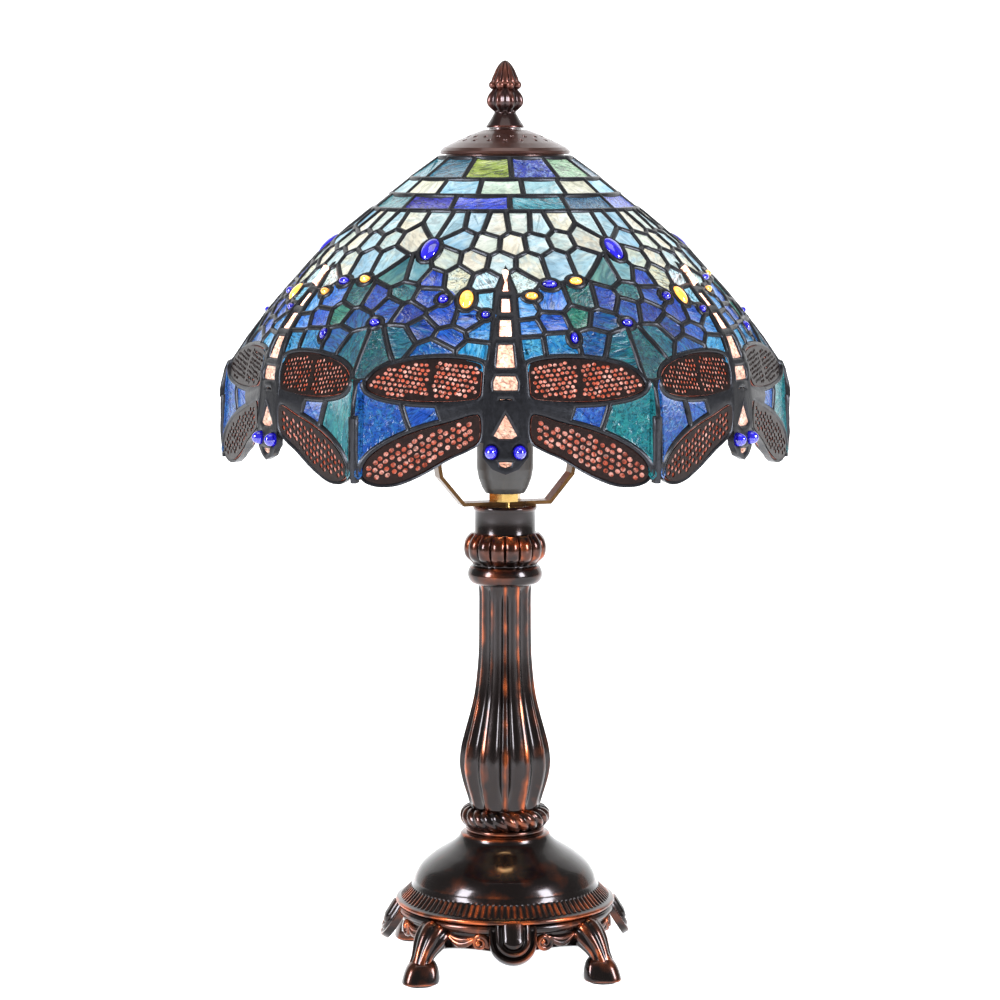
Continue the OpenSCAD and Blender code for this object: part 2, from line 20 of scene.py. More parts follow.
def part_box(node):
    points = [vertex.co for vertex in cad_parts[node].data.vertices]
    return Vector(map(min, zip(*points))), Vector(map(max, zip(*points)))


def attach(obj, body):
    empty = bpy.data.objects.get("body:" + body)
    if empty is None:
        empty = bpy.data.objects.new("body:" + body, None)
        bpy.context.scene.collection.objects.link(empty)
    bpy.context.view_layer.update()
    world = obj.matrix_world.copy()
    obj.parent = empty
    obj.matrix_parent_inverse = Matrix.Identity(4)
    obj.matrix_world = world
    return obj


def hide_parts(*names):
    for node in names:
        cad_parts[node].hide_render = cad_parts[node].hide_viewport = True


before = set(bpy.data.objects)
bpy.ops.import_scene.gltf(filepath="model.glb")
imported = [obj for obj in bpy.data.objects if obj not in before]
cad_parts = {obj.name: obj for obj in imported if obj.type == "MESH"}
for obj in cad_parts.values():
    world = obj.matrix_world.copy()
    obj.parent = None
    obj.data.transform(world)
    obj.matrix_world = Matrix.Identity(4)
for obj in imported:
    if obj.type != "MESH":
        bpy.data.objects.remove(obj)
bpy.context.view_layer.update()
MM = 0.001

# %% [markdown]
# ## Camera, stage and light
#
# The lamp is seen from a little above its shade's rim, with a long lens, so that the six sides of the shade
# stay upright. The stage is one pale sheet, swept up behind the lamp like a photographer's paper roll, with
# no edge where floor and wall meet. Two large soft boxes at the front give the cast metal its pale
# highlights, and a white world fills the shadows.

# %% Camera
eye_height, eye_distance = 452 * MM, 1700 * MM
camera_data = bpy.data.cameras.new("camera")
camera_data.lens = 114.8
camera_data.sensor_width = 36
camera = bpy.data.objects.new("camera", camera_data)
bpy.context.scene.collection.objects.link(camera)
camera.location = (-2.7 * MM, -eye_distance, eye_height)
camera.rotation_euler = (math.radians(90 - 6.7), 0, 0)
bpy.context.scene.camera = camera
bpy.context.scene.view_settings.view_transform = "Standard"


# %% Colours and nodes
def srgb(code, alpha=1.0):
    """An sRGB hex colour as the linear values that nodes take."""
    parts = [int(code[i:i + 2], 16) / 255 for i in (1, 3, 5)]
    return [c / 12.92 if c <= 0.04045 else ((c + 0.055) / 1.055) ** 2.4 for c in parts] + [alpha]


def add(mat, kind, inputs=None, **settings):
    """Adds one node. A socket given as an input is linked, and any other value is set."""
    made = mat.node_tree.nodes.new(kind)
    for key, value in settings.items():
        setattr(made, key, value)
    for key, value in (inputs or {}).items():
        if isinstance(value, bpy.types.NodeSocket):
            mat.node_tree.links.new(value, made.inputs[key])
        else:
            made.inputs[key].default_value = value
    return made


def finish_material(name, **inputs):
    """A material and its shader, with the shader's plain values set."""
    mat = bpy.data.materials.new(name)
    mat.use_nodes = True
    shader = mat.node_tree.nodes["Principled BSDF"]
    for key, value in inputs.items():
        shader.inputs[key.replace("_", " ")].default_value = value
    return mat, shader


def feed(mat, shader, **sockets):
    """Links sockets to the shader's inputs."""
    for key, socket in sockets.items():
        mat.node_tree.links.new(socket, shader.inputs[key.replace("_", " ")])


# %% Stage and lights
paper, paper_shader = finish_material("studio_paper", Roughness=0.9, Emission_Strength=0.78)
paper_grain = add(paper, "ShaderNodeTexNoise", {"Scale": 30.0, "Detail": 3.0})
paper_tone = add(paper, "ShaderNodeMix", {"Factor": paper_grain.outputs["Fac"], "A": srgb("#f6f6f5"),
                                          "B": srgb("#fafaf9")}, data_type="RGBA")
feed(paper, paper_shader, Base_Color=paper_tone.outputs["Result"], Emission_Color=paper_tone.outputs["Result"])

sweep = bmesh.new()
front_edge = [sweep.verts.new((x, -2.6, 0)) for x in (-4, 4)]
sweep.edges.new(front_edge)
steps = [(2.2, 0)] + [(2.2 + 1.2 * math.sin(math.radians(a)), 1.2 - 1.2 * math.cos(math.radians(a)))
                      for a in range(10, 91, 10)] + [(3.4, 5)]
here = (-2.6, 0)
edge = list(sweep.edges)
for y, z in steps:
    grown = bmesh.ops.extrude_edge_only(sweep, edges=edge)["geom"]
    moved = [g for g in grown if isinstance(g, bmesh.types.BMVert)]
    bmesh.ops.translate(sweep, verts=moved, vec=(0, y - here[0], z - here[1]))
    edge = [g for g in grown if isinstance(g, bmesh.types.BMEdge)]
    here = (y, z)
sweep_mesh = bpy.data.meshes.new("stage")
sweep.to_mesh(sweep_mesh)
sweep.free()
sweep_mesh.shade_smooth()
sweep_mesh.materials.append(paper)
stage = bpy.data.objects.new("stage", sweep_mesh)
bpy.context.scene.collection.objects.link(stage)

world = bpy.data.worlds.new("studio")
bpy.context.scene.world = world
world.use_nodes = True
world.node_tree.nodes["Background"].inputs["Color"].default_value = srgb("#ffffff")
world.node_tree.nodes["Background"].inputs["Strength"].default_value = 0.4


def soft_box(name, place, aim, width, height, power, tint="#ffffff"):
    """An area light at a place, turned to a point."""
    data = bpy.data.lights.new(name, "AREA")
    data.shape = "RECTANGLE"
    data.size, data.size_y, data.energy = width, height, power
    data.color = srgb(tint)[:3]
    light = bpy.data.objects.new(name, data)
    bpy.context.scene.collection.objects.link(light)
    light.location = place
    light.rotation_euler = (Vector(aim) - Vector(place)).to_track_quat("-Z", "Y").to_euler()


soft_box("left_box", (-1.35, -0.95, 0.8), (0, 0, 0.2), 0.45, 0.8, 55, "#eef4ff")
soft_box("right_box", (1.35, -0.95, 0.8), (0, 0, 0.2), 0.45, 0.8, 55, "#eef4ff")
soft_box("top_box", (0, -0.3, 1.9), (0, 0, 0.3), 1.2, 1.0, 9)

# %% [markdown]
# ## From a bmesh to a piece of the lamp
#
# Every modelled piece goes through one function, which scales it to metres, shades it smooth with its real
# edges kept sharp, gives it its materials, and ties it to its body in the frame.


# %% Making a piece
def put(name, bm, materials, body, nodes=(), sharp=38):
    """Turns a bmesh in millimetres into a piece that rides on a body and stands for CAD nodes."""
    bmesh.ops.scale(bm, vec=(MM, MM, MM), verts=bm.verts)
    mesh = bpy.data.meshes.new(name)
    bm.to_mesh(mesh)
    bm.free()
    mesh.shade_smooth()
    mesh.set_sharp_from_angle(angle=math.radians(sharp))
    for mat in materials:
        mesh.materials.append(mat)
    piece = bpy.data.objects.new(name, mesh)
    bpy.context.scene.collection.objects.link(piece)
    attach(piece, body)
    if nodes:
        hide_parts(*nodes)
    print(f"{name}: {len(mesh.polygons)} faces")


def merge(target, source):
    """Adds one bmesh to another."""
    mesh = bpy.data.meshes.new("merged")
    source.to_mesh(mesh)
    source.free()
    target.from_mesh(mesh)
    bpy.data.meshes.remove(mesh)


def refinish(node_name, mat):
    """Gives a CAD node, whose shape is already right, its finished material."""
    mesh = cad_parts[node_name].data
    mesh.materials.clear()
    mesh.materials.append(mat)


# %% [markdown]
# ## The finishes of the metal
#
# The stand is cast zinc under an antique bronze paint: nearly black brown in the hollows and rubbed back to
# copper where the casting stands proud. A paint shop rubs the high spots by hand, so the wear follows the
# shape. Each metal mesh therefore carries a "wear" value that is high on its convex ridges, and the material
# lets the copper through there, broken up by a little noise.


# %% Wear follows the shape
def mark_wear(bm, full_radius, rounds=2):
    """Stores how far each point stands proud: 1 where the surface bends as tightly as full_radius in mm."""
    layer = bm.verts.layers.float.new("wear")
    bm.normal_update()
    for v in bm.verts:
        bends = [-2 * v.normal.dot(e.other_vert(v).co - v.co) / max(e.calc_length() ** 2, 1e-6)
                 for e in v.link_edges]
        v[layer] = max(-1.0, min(1.0, full_radius * sum(bends) / max(1, len(bends))))
    for _ in range(rounds):
        blurred = {v: (v[layer] + sum(e.other_vert(v)[layer] for e in v.link_edges)) / (1 + len(v.link_edges))
                   for v in bm.verts}
        for v, value in blurred.items():
            v[layer] = value


def cast_bronze(name, dark, rubbed, bare, roughness):
    """Painted zinc: dark paint, a warm brown where it thins, and copper on the ridges."""
    mat, shader = finish_material(name, Metallic=0.85, Coat_Weight=0.35, Coat_Roughness=0.12)
    wear = add(mat, "ShaderNodeAttribute", attribute_name="wear")
    place = add(mat, "ShaderNodeTexCoord")
    # Hand rubbing leaves patches about 12 mm across
    patches = add(mat, "ShaderNodeTexNoise", {"Vector": place.outputs["Object"], "Scale": 1 / (12 * MM),
                                              "Detail": 2.5, "Roughness": 0.5})
    blotches = add(mat, "ShaderNodeMapRange", {"Value": patches.outputs["Fac"], "From Min": 0.32, "From Max": 0.7,
                                               "To Min": 0.0, "To Max": 0.5})
    sum_of = add(mat, "ShaderNodeMath", {0: wear.outputs["Fac"], 1: 0.5, 2: blotches.outputs["Result"]},
                 operation="MULTIPLY_ADD")
    ramp = add(mat, "ShaderNodeValToRGB", {"Fac": sum_of.outputs["Value"]})
    ramp.color_ramp.elements[0].position, ramp.color_ramp.elements[0].color = 0.34, srgb(dark)
    ramp.color_ramp.elements[1].position, ramp.color_ramp.elements[1].color = 0.92, srgb(bare)
    middle = ramp.color_ramp.elements.new(0.6)
    middle.color = srgb(rubbed)
    # The cast skin is slightly orange-peeled, in bumps of about a millimetre
    peel = add(mat, "ShaderNodeTexNoise", {"Vector": place.outputs["Object"], "Scale": 1 / (1.2 * MM),
                                           "Detail": 2.0})
    bump = add(mat, "ShaderNodeBump", {"Height": peel.outputs["Fac"], "Strength": 0.25, "Distance": 0.12 * MM})
    gloss = add(mat, "ShaderNodeMapRange", {"Value": patches.outputs["Fac"], "To Min": roughness - 0.06,
                                            "To Max": roughness + 0.1})
    feed(mat, shader, Base_Color=ramp.outputs["Color"], Normal=bump.outputs["Normal"],
         Roughness=gloss.outputs["Result"])
    return mat


bronze_paint = cast_bronze("antique_bronze_paint", "#160d0b", "#45200f", "#a34d20", 0.2)
finial_paint = cast_bronze("brown_finial_paint", "#26120f", "#351a15", "#552c20", 0.3)


# %% Plain metals, plastics and felt
def speckled(name, low, high, grain_mm, roughness, bump_mm=0.0, **inputs):
    """A finish of two near colours in grains of one size, with the bump that the grains give."""
    mat, shader = finish_material(name, **inputs)
    place = add(mat, "ShaderNodeTexCoord")
    grain = add(mat, "ShaderNodeTexNoise", {"Vector": place.outputs["Object"], "Scale": 1 / (grain_mm * MM),
                                            "Detail": 4.0, "Roughness": 0.6})
    tone = add(mat, "ShaderNodeMix", {"Factor": grain.outputs["Fac"], "A": srgb(low), "B": srgb(high)},
               data_type="RGBA")
    gloss = add(mat, "ShaderNodeMapRange", {"Value": grain.outputs["Fac"], "To Min": max(0.02, roughness - 0.07),
                                            "To Max": roughness + 0.09})
    feed(mat, shader, Base_Color=tone.outputs["Result"], Roughness=gloss.outputs["Result"])
    if bump_mm:
        bump = add(mat, "ShaderNodeBump", {"Height": grain.outputs["Fac"], "Strength": 0.5,
                                           "Distance": bump_mm * MM})
        feed(mat, shader, Normal=bump.outputs["Normal"])
    return mat


# Black patina on tin-lead solder: lumpy, half dull, and never quite black
solder = speckled("patinated_solder", "#0e0e10", "#26262a", 2.2, 0.34, 0.25, Metallic=0.7)
pierced = speckled("patinated_pierced_brass", "#0c0707", "#26140f", 2.5, 0.36, 0.12, Metallic=0.75)
cap_paint = speckled("brown_satin_paint", "#301a15", "#4a2b22", 9, 0.3, 0.05, Metallic=0.6, Coat_Weight=0.3)
harp_bronze = speckled("dark_bronze_strap", "#2a211a", "#6a4a26", 7, 0.28, 0.03, Metallic=0.9)
lamp_brass = speckled("lacquered_brass", "#a8874a", "#c7a566", 5, 0.22, 0.02, Metallic=1.0)
zinc_plate = speckled("zinc_plated_steel", "#85888a", "#a5a8a8", 3, 0.34, 0.02, Metallic=1.0)
nickel = speckled("nickel_plated_brass", "#b4b1a8", "#cfccc2", 3, 0.22, 0.02, Metallic=1.0)
phenolic = speckled("black_phenolic", "#1b1815", "#2d2924", 6, 0.42, 0.04)
porcelain = speckled("glazed_porcelain", "#ddd8ca", "#e9e5da", 4, 0.2)
fibre = speckled("pressed_fibre", "#b9b09c", "#cfc7b4", 1.5, 0.8, 0.05)
felt = speckled("pressed_felt", "#221e1b", "#3a3430", 0.8, 0.95, 0.2, Sheen_Weight=0.5)

# %% [markdown]
# ## The finishes of the glass
#
# Opalescent glass is cast from a milky batch with a coloured one swirled into it. Lit from behind, it glows
# like a paper lantern and shows soft streaks. Cathedral glass is clear and deep, and its rippled face breaks
# the light into bright and dark ribbons. Both are laid as hundreds of panes, so each pane carries its own
# two colours, "tint" and "streak", and its own "grain", which moves and turns the swirl from pane to pane.
#
# The bulb's light reaches a pane more weakly the farther away it is, so the glow falls off with the distance
# from the bulb. Part of each pane also lets the bulb itself show through, blurred.

# %% Opalescent and rippled glass
bulb_centre = sum(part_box("bulb_globe"), Vector()) / 2
bulb_centre.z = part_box("bulb_globe")[1].z - 30 * MM


def glowing_glass(name, ribbon_mm, stretch, bump_mm, roughness, show_through, glow, deep, flash):
    """Glass lit from inside, its glow painted as emission: streaks of two colours in ribbons, over a bumpy or
    rippled face.
    """
    mat, shader = finish_material(name, IOR=1.52, Transmission_Weight=show_through,
                                  Specular_IOR_Level=0.2, Emission_Strength=glow)
    place = add(mat, "ShaderNodeTexCoord").outputs["Object"]
    tint = add(mat, "ShaderNodeAttribute", attribute_name="tint").outputs["Color"]
    streak = add(mat, "ShaderNodeAttribute", attribute_name="streak").outputs["Color"]
    grain = add(mat, "ShaderNodeAttribute", attribute_name="grain").outputs["Vector"]
    # Each pane is cut from another spot of its sheet, and turned
    turned_place = add(mat, "ShaderNodeVectorRotate", {"Vector": place, "Rotation": grain},
                       rotation_type="EULER_XYZ").outputs["Vector"]
    spot = add(mat, "ShaderNodeVectorMath", {0: turned_place, 1: (1, 1, 1 / stretch), 2: grain},
               operation="MULTIPLY_ADD").outputs["Vector"]
    ribbons = add(mat, "ShaderNodeTexNoise", {"Vector": spot, "Scale": 1 / (ribbon_mm * MM), "Detail": 3.0,
                                              "Distortion": 1.1}).outputs["Fac"]
    ramp = add(mat, "ShaderNodeValToRGB", {"Fac": ribbons})
    ramp.color_ramp.elements[0].position = 0.44
    ramp.color_ramp.elements[1].position = 0.84
    mixed = add(mat, "ShaderNodeMix", {"Factor": ramp.outputs["Color"], "A": tint, "B": streak},
                data_type="RGBA").outputs["Result"]
    # Painted light: this noise makes the glow brighter and darker in patches, from deep at its dimmest up to 1.15
    glow_patches = add(mat, "ShaderNodeTexNoise", {"Vector": spot, "Scale": 1.7 / (ribbon_mm * MM), "Detail": 3.0,
                                            "Distortion": 1.6})
    depth = add(mat, "ShaderNodeMapRange", {"Value": glow_patches.outputs["Fac"], "From Min": 0.36, "From Max": 0.62,
                                            "To Min": deep, "To Max": 1.15}).outputs["Result"]
    # Painted pool of light: panes nearer the bulb glow more strongly
    away = add(mat, "ShaderNodeVectorMath", {0: place, 1: bulb_centre}, operation="DISTANCE").outputs["Value"]
    near = add(mat, "ShaderNodeMapRange", {"Value": away, "From Min": 0.09, "From Max": 0.17, "To Min": 1.25,
                                           "To Max": 0.6}).outputs["Result"]
    strength = add(mat, "ShaderNodeMath", {0: depth, 1: near}, operation="MULTIPLY").outputs["Value"]
    # Where the rolled face bends the light, thin painted highlights run through the pane as ribbons of extra glow
    edge_of = add(mat, "ShaderNodeMath", {0: glow_patches.outputs["Fac"], 1: 0.5}, operation="SUBTRACT").outputs["Value"]
    thin = add(mat, "ShaderNodeMath", {0: edge_of}, operation="ABSOLUTE").outputs["Value"]
    ribbon = add(mat, "ShaderNodeMapRange", {"Value": thin, "From Min": 0.0, "From Max": 0.022,
                                             "To Min": flash, "To Max": 0.0}).outputs["Result"]
    flashed = add(mat, "ShaderNodeMath", {0: strength, 1: ribbon}, operation="ADD").outputs["Value"]
    light = add(mat, "ShaderNodeVectorMath", {0: mixed, "Scale": flashed}, operation="SCALE")
    body = add(mat, "ShaderNodeVectorMath", {0: mixed, "Scale": 0.14}, operation="SCALE")
    bump = add(mat, "ShaderNodeBump", {"Height": ribbons, "Strength": 0.6, "Distance": bump_mm * MM})
    feed(mat, shader, Base_Color=body.outputs["Vector"], Emission_Color=light.outputs["Vector"],
         Normal=bump.outputs["Normal"])
    shader.inputs["Roughness"].default_value = roughness
    return mat


opal_glass = glowing_glass("streaky_opalescent_glass", 7, 2.5, 0.35, 0.3, 0.15, 0.62, 0.62, 0.2)
ripple_glass = glowing_glass("rippled_cathedral_glass", 3.2, 4.0, 0.9, 0.2, 0.12, 0.72, 0.08, 1.1)
wing_glass = glowing_glass("pink_opalescent_glass", 4, 1.2, 0.2, 0.3, 0.1, 1.9, 0.25, 0.4)


def jewel_glass(name, colour, glow):
    """Pressed glass: one deep colour, fire-polished, with a little light in it."""
    mat, shader = finish_material(name, IOR=1.52, Roughness=0.04, Transmission_Weight=0.35, Coat_Weight=1.0,
                                  Coat_Roughness=0.02, Emission_Strength=glow)
    place = add(mat, "ShaderNodeTexCoord").outputs["Object"]
    swirl = add(mat, "ShaderNodeTexNoise", {"Vector": place, "Scale": 1 / (5 * MM), "Detail": 1.0,
                                            "Distortion": 1.5}).outputs["Fac"]
    shade = add(mat, "ShaderNodeMapRange", {"Value": swirl, "From Min": 0.3, "From Max": 0.7, "To Min": 0.5,
                                            "To Max": 1.5}).outputs["Result"]
    tone = add(mat, "ShaderNodeVectorMath", {0: srgb(colour)[:3], "Scale": shade}, operation="SCALE")
    feed(mat, shader, Base_Color=tone.outputs["Vector"], Emission_Color=tone.outputs["Vector"])
    return mat


cobalt_jewel = jewel_glass("pressed_cobalt_glass", "#1206a4", 0.36)
amber_jewel = jewel_glass("pressed_amber_glass", "#f0a040", 1.3)

# %% [markdown]
# ## The mould of the shade
#
# A leaded shade is soldered over a mould, so the mould comes first: the radius across its ridges at each
# depth under the top edge, and between two ridges a face that flattens where the dragonflies lie. The
# pattern is drawn on a flat sheet, as the angle round the shade against the length down its slope, and is
# then bent onto the mould. Angle 0 is the line down a dragonfly's back.

# %% The mould's shape
top_edge = 436.0
ridge_rows = [(0, 34), (11.5, 50), (29.5, 73), (49, 97), (73.5, 119), (94, 136), (111, 148.5), (124, 151.5),
              (148, 152), (170, 149.5)]
slope_at = [0.0]
for (d0, r0), (d1, r1) in zip(ridge_rows, ridge_rows[1:]):
    slope_at.append(slope_at[-1] + math.hypot(d1 - d0, r1 - r0))
SHEET = 1.9          # mm of the flat sheet for each degree


def between(x, xs, ys):
    """Reads a table, with straight lines between its rows."""
    i = min(max(bisect.bisect_right(xs, x) - 1, 0), len(xs) - 2)
    return ys[i] + (ys[i + 1] - ys[i]) * (x - xs[i]) / (xs[i + 1] - xs[i])


depths, ridges = [row[0] for row in ridge_rows], [row[1] for row in ridge_rows]


def sheet(a, depth):
    """The spot on the flat sheet for an angle and a depth."""
    return Vector((a * SHEET, -between(depth, depths, slope_at)))


def mould_radius(a, depth):
    """The mould's radius: round at the top, and flattened between its six ridges lower down."""
    t = min(1, max(0, (depth - 71) / 50))
    flatness = t * t * (3 - 2 * t)
    ridge = between(depth, depths, ridges)
    low = ridge * (1 - 0.068 * flatness)
    b = math.radians(abs((a + 30) % 60 - 30))
    half = math.radians(30)
    chord = low * ridge * math.sin(half) / (low * math.sin(b) + ridge * math.sin(half - b))
    return ridge * (1 - flatness) + chord * flatness


def on_mould(spot, proud=0.0):
    """Bends a spot of the sheet onto the mould, and lifts it off the glass by so many mm."""
    a, depth = spot[0] / SHEET, between(-spot[1], slope_at, depths)
    lean = math.atan((mould_radius(a, depth + 1) - mould_radius(a, depth - 1)) / 2)
    r = mould_radius(a, depth) + proud * math.cos(lean)
    turn = math.radians(a)
    return Vector((r * math.sin(turn), -r * math.cos(turn), top_edge - depth + proud * math.sin(lean)))


def rounded(points, times=2):
    """Cuts the corners of a closed outline, so that it curves."""
    for _ in range(times):
        pairs = list(zip(points, points[1:] + points[:1]))
        points = [spot for p, q in pairs for spot in (p * 0.75 + q * 0.25, p * 0.25 + q * 0.75)]
    return points


def oval(centre, wide, tall, count=14):
    """An oval on the sheet, its size in mm on the finished shade."""
    squeeze = SHEET / (math.radians(1) * between(-centre.y, slope_at, ridges))
    return [centre + Vector((wide / 2 * squeeze * math.cos(t), tall / 2 * math.sin(t)))
            for t in (math.tau * i / count for i in range(count))]


def mirrored(points):
    """An outline's mirror image across the dragonfly's back."""
    return [Vector((-p.x, p.y)) for p in reversed(points)]


print("slope length of the shade:", round(slope_at[-1], 1), "mm")

# %% [markdown]
# ## The pattern
#
# One dragonfly hangs head down in each sixth of the shade. Its wings, its body and the black plate behind
# its chest are outlines of their own. The sky behind it is cut into panes round listed centres, so that
# each pane is the part of the sheet nearest to its own centre: an irregular, crazed pattern with no two
# panes alike. Each centre has the pane's two colours.

# %% Outlines of the dragonfly
upper_wing = rounded([sheet(a, d) for a, d in [
    (4, 101), (4, 118.5), (9, 120.4), (15, 120.8), (21, 120), (26, 117.6), (28.4, 113.5), (28.4, 108),
    (26, 102), (21, 98.6), (15, 97), (9.5, 97), (5.5, 98.6)]])
lower_wing = rounded([sheet(a, d) for a, d in [
    (4.4, 123.5), (4.4, 139), (7.5, 143.5), (11.4, 147.6), (15, 153.2), (18.6, 158), (22.3, 161.6),
    (26.2, 161.8), (28.7, 158.5), (28.6, 151), (26.4, 143.5), (22, 136.5), (17, 131.5), (11, 127.6),
    (7.5, 124.4)]])


def strip(rows):
    """An outline that is the same on both sides of the dragonfly's back, from half-widths at depths."""
    right = [sheet(a, d) for a, d in rows]
    return right + [Vector((-p.x, p.y)) for p in reversed(right) if abs(p.x) > 0.01]


body_parts = [
    [(0, 57.5), (1.6, 67)], [(1.7, 68.4), (1.9, 77)], [(1.9, 78.4), (2.1, 88.5)], [(2.1, 90), (2.6, 103.5)],
    [(2.4, 105), (3.1, 109), (3.0, 114.5)], [(1.5, 116), (2.4, 119.5)], [(0, 122), (3.2, 136), (1.5, 138.5)],
    [(2.2, 147), (1.6, 151.5), (0, 153)]]
body_bed = strip([(0, 55.5), (2.3, 66), (2.6, 77), (2.9, 88.5), (3.5, 101)])
chest_plate = strip([(4.2, 100), (4.5, 118), (4.4, 140), (4.6, 146), (2.6, 152), (0, 154.5)])
ridge_bar = [sheet(a, d) for a, d in [(29.4, 128), (30.6, 128), (30.6, 160), (29.4, 160)]]
wing_root = [sheet(a, d) for a, d in [(3, 117), (3, 125), (8, 126), (12.5, 129.5), (13.5, 124), (14, 119)]]
eye_places = [(2.8, 143.4), (-2.8, 143.4)]
EYE = 9              # the eyes' number among the jewels
# Jewels: angle, depth, width and height in mm
cobalt_places = [(-24, 46.5, 12, 17), (-15.5, 70, 7.8, 7.8), (-4.6, 77.3, 7, 7), (11.7, 63, 10, 7),
                 (15.2, 88.5, 6.4, 10), (28.8, 82, 8.6, 7)]
amber_places = [(-9.6, 70, 9.6, 14), (6.6, 68.5, 9, 6.6), (19, 61.5, 9.4, 7)]

# %% Centres of the panes: angle, depth, tint and streak
pane_centres = [
    (-26, 32, "#bfe2e6", "#f4fbf8"), (-19, 33.5, "#a4d2e2", "#dcefec"), (-11, 32.5, "#8fc4de", "#cfe8f0"),
    (-3.5, 34.5, "#ece6d0", "#c9e6ea"), (5.5, 33, "#cfe4dc", "#f6f2e2"), (13, 34.5, "#b4dae4", "#f0f4ea"),
    (20.5, 32.5, "#e8e2c8", "#c4e0e4"), (27, 41.5, "#ece4cb", "#b4d8e0"), (-14.5, 41.5, "#86bcd8", "#d4e8e4"),
    (-6, 43.5, "#d8e6d4", "#fbf8ea"), (2.5, 44, "#efe6cc", "#b8dce0"), (10.5, 43.5, "#a8d3e0", "#eaf2ea"),
    (18.5, 42, "#c4e0dc", "#f4eeda"), (-17.5, 51.5, "#dce6d0", "#9ccbe0"), (-9, 51.5, "#ece2c6", "#b4dae4"),
    (-1, 53, "#c4e4e8", "#fbf6e6"), (7, 53.5, "#e4e2c8", "#a3d4e4"), (15, 52, "#9ccbe2", "#dcecea"),
    (23.5, 51, "#a8d3e0", "#e8ead4"), (-25, 57, "#5fa4b4", "#b0dcd8"), (-13, 59.5, "#e0dcb8", "#a4d0dc"),
    (-5, 62, "#b4e0ec", "#ffffff"), (3.2, 61, "#d4e6dc", "#8fc8dc"), (29, 58, "#1f7480", "#7fc0a8"),
    (-19.8, 60.5, "#1a44c4", "#4f86dc"), (-26.5, 67.5, "#1a6474", "#4fa49a"), (-20, 69, "#1c48b8", "#2f7ad4"),
    (-14.5, 78.5, "#1b46b4", "#2f66cc"), (-9, 79.5, "#1f5cd0", "#4f9ce4"), (-23.5, 76.5, "#14309a", "#2a62c4"),
    (-19, 84.5, "#163c9c", "#1f78a0"), (-28.8, 74.5, "#1a4cb0", "#3a8cd0"), (-12.5, 87.5, "#1b56c4", "#3f8ee0"),
    (-4.2, 69.5, "#7fcdec", "#d8f4fa"), (-5, 85.5, "#2584d8", "#7fc8f0"), (-6, 94, "#2c9cd8", "#8fdcf4"),
    (-15.5, 94, "#1a5cb4", "#2f98c0"), (-24, 89, "#155f7c", "#2f9aa0"), (-29, 92, "#14586c", "#2f8c84"),
    (4, 75, "#4f9fe4", "#a4d4f4"), (5, 83.5, "#2f7edc", "#8fc8f4"), (5.4, 91.5, "#2796d4", "#7fd8ee"),
    (11.5, 71.5, "#2468cc", "#5fa8e8"), (11, 80.5, "#1f52c4", "#3f88dc"), (11.5, 91, "#1f84c8", "#6fcce8"),
    (20, 70, "#17606c", "#46a48c"), (17.5, 78.5, "#1a7468", "#5fb890"), (25.5, 70.5, "#1a3ea8", "#3f78cc"),
    (22.5, 80.5, "#164c94", "#2a8aa4"), (20, 89.5, "#17549c", "#2f92b8"), (25.5, 92, "#14607c", "#2fa09c"),
    (24.5, 128, "#1a7a88", "#3fb0a8"), (-24.5, 128, "#1f58b8", "#3f9ad0"), (16, 124, "#2458c0", "#58a0e4"),
    (-16, 124, "#2458c0", "#58a0e4"), (8.5, 120, "#2458c0", "#58a0e4"), (-8.5, 120, "#2458c0", "#58a0e4")]

# %% [markdown]
# ## Cutting the sheet
#
# All outlines are laid over each other on the sheet, with the neighbours on both sides, and cut into one
# map whose pieces meet exactly. Each piece belongs to the outline that lies on top of it, in the order
# jewel, body, plate, wing, pane. Joining the pieces that share an owner gives one polygon for each pane.


# %% The map of one sixth
def nearest_cell(centre, others):
    """The part of a wide box that is nearer to one centre than to any other."""
    cell = [centre + Vector(c) for c in ((-90, -90), (90, -90), (90, 90), (-90, 90))]
    for other in others:
        middle, away = (centre + other) / 2, other - centre
        kept = []
        for p, q in zip(cell, cell[1:] + cell[:1]):
            side_p, side_q = (p - middle).dot(away), (q - middle).dot(away)
            if side_p <= 0:
                kept.append(p)
            if (side_p < 0 < side_q) or (side_q < 0 < side_p):
                kept.append(p.lerp(q, side_p / (side_p - side_q)))
        cell = kept
    return cell


around = Vector((60 * SHEET, 0))
centres = [sheet(a, d) for a, d, _, _ in pane_centres]
every_centre = [(c + around * k, i, k) for i, c in enumerate(centres) for k in (-2, -1, 0, 1, 2)]
zone = [sheet(a, 27.4) for a in range(90, -91, -5)]
for a in range(-90, 90, 60):
    zone += [sheet(a + 2, 158), sheet(a + 9, 139), sheet(a + 51, 139), sheet(a + 58, 158)]

# Each outline: kind, number within its kind, points. A later outline lies on top of an earlier one.
outlines = [("lead", 2, wing_root), ("lead", 3, mirrored(wing_root)),
            ("wing", 0, upper_wing), ("wing", 1, mirrored(upper_wing)),
            ("wing", 2, lower_wing), ("wing", 3, mirrored(lower_wing)),
            ("lead", 4, body_bed), ("lead", 0, ridge_bar), ("lead", 1, chest_plate)]
outlines += [("body", i, strip(rows)) for i, rows in enumerate(body_parts)]
outlines += [("jewel", i, oval(sheet(a, d), w, h)) for i, (a, d, w, h) in
             enumerate(cobalt_places + amber_places)]
outlines += [("jewel", EYE, oval(sheet(a, d), 9.6, 9.6)) for a, d in eye_places]
laid = [(kind, number, copy, [p + around * copy for p in points])
        for kind, number, points in outlines for copy in (-1, 0, 1)]

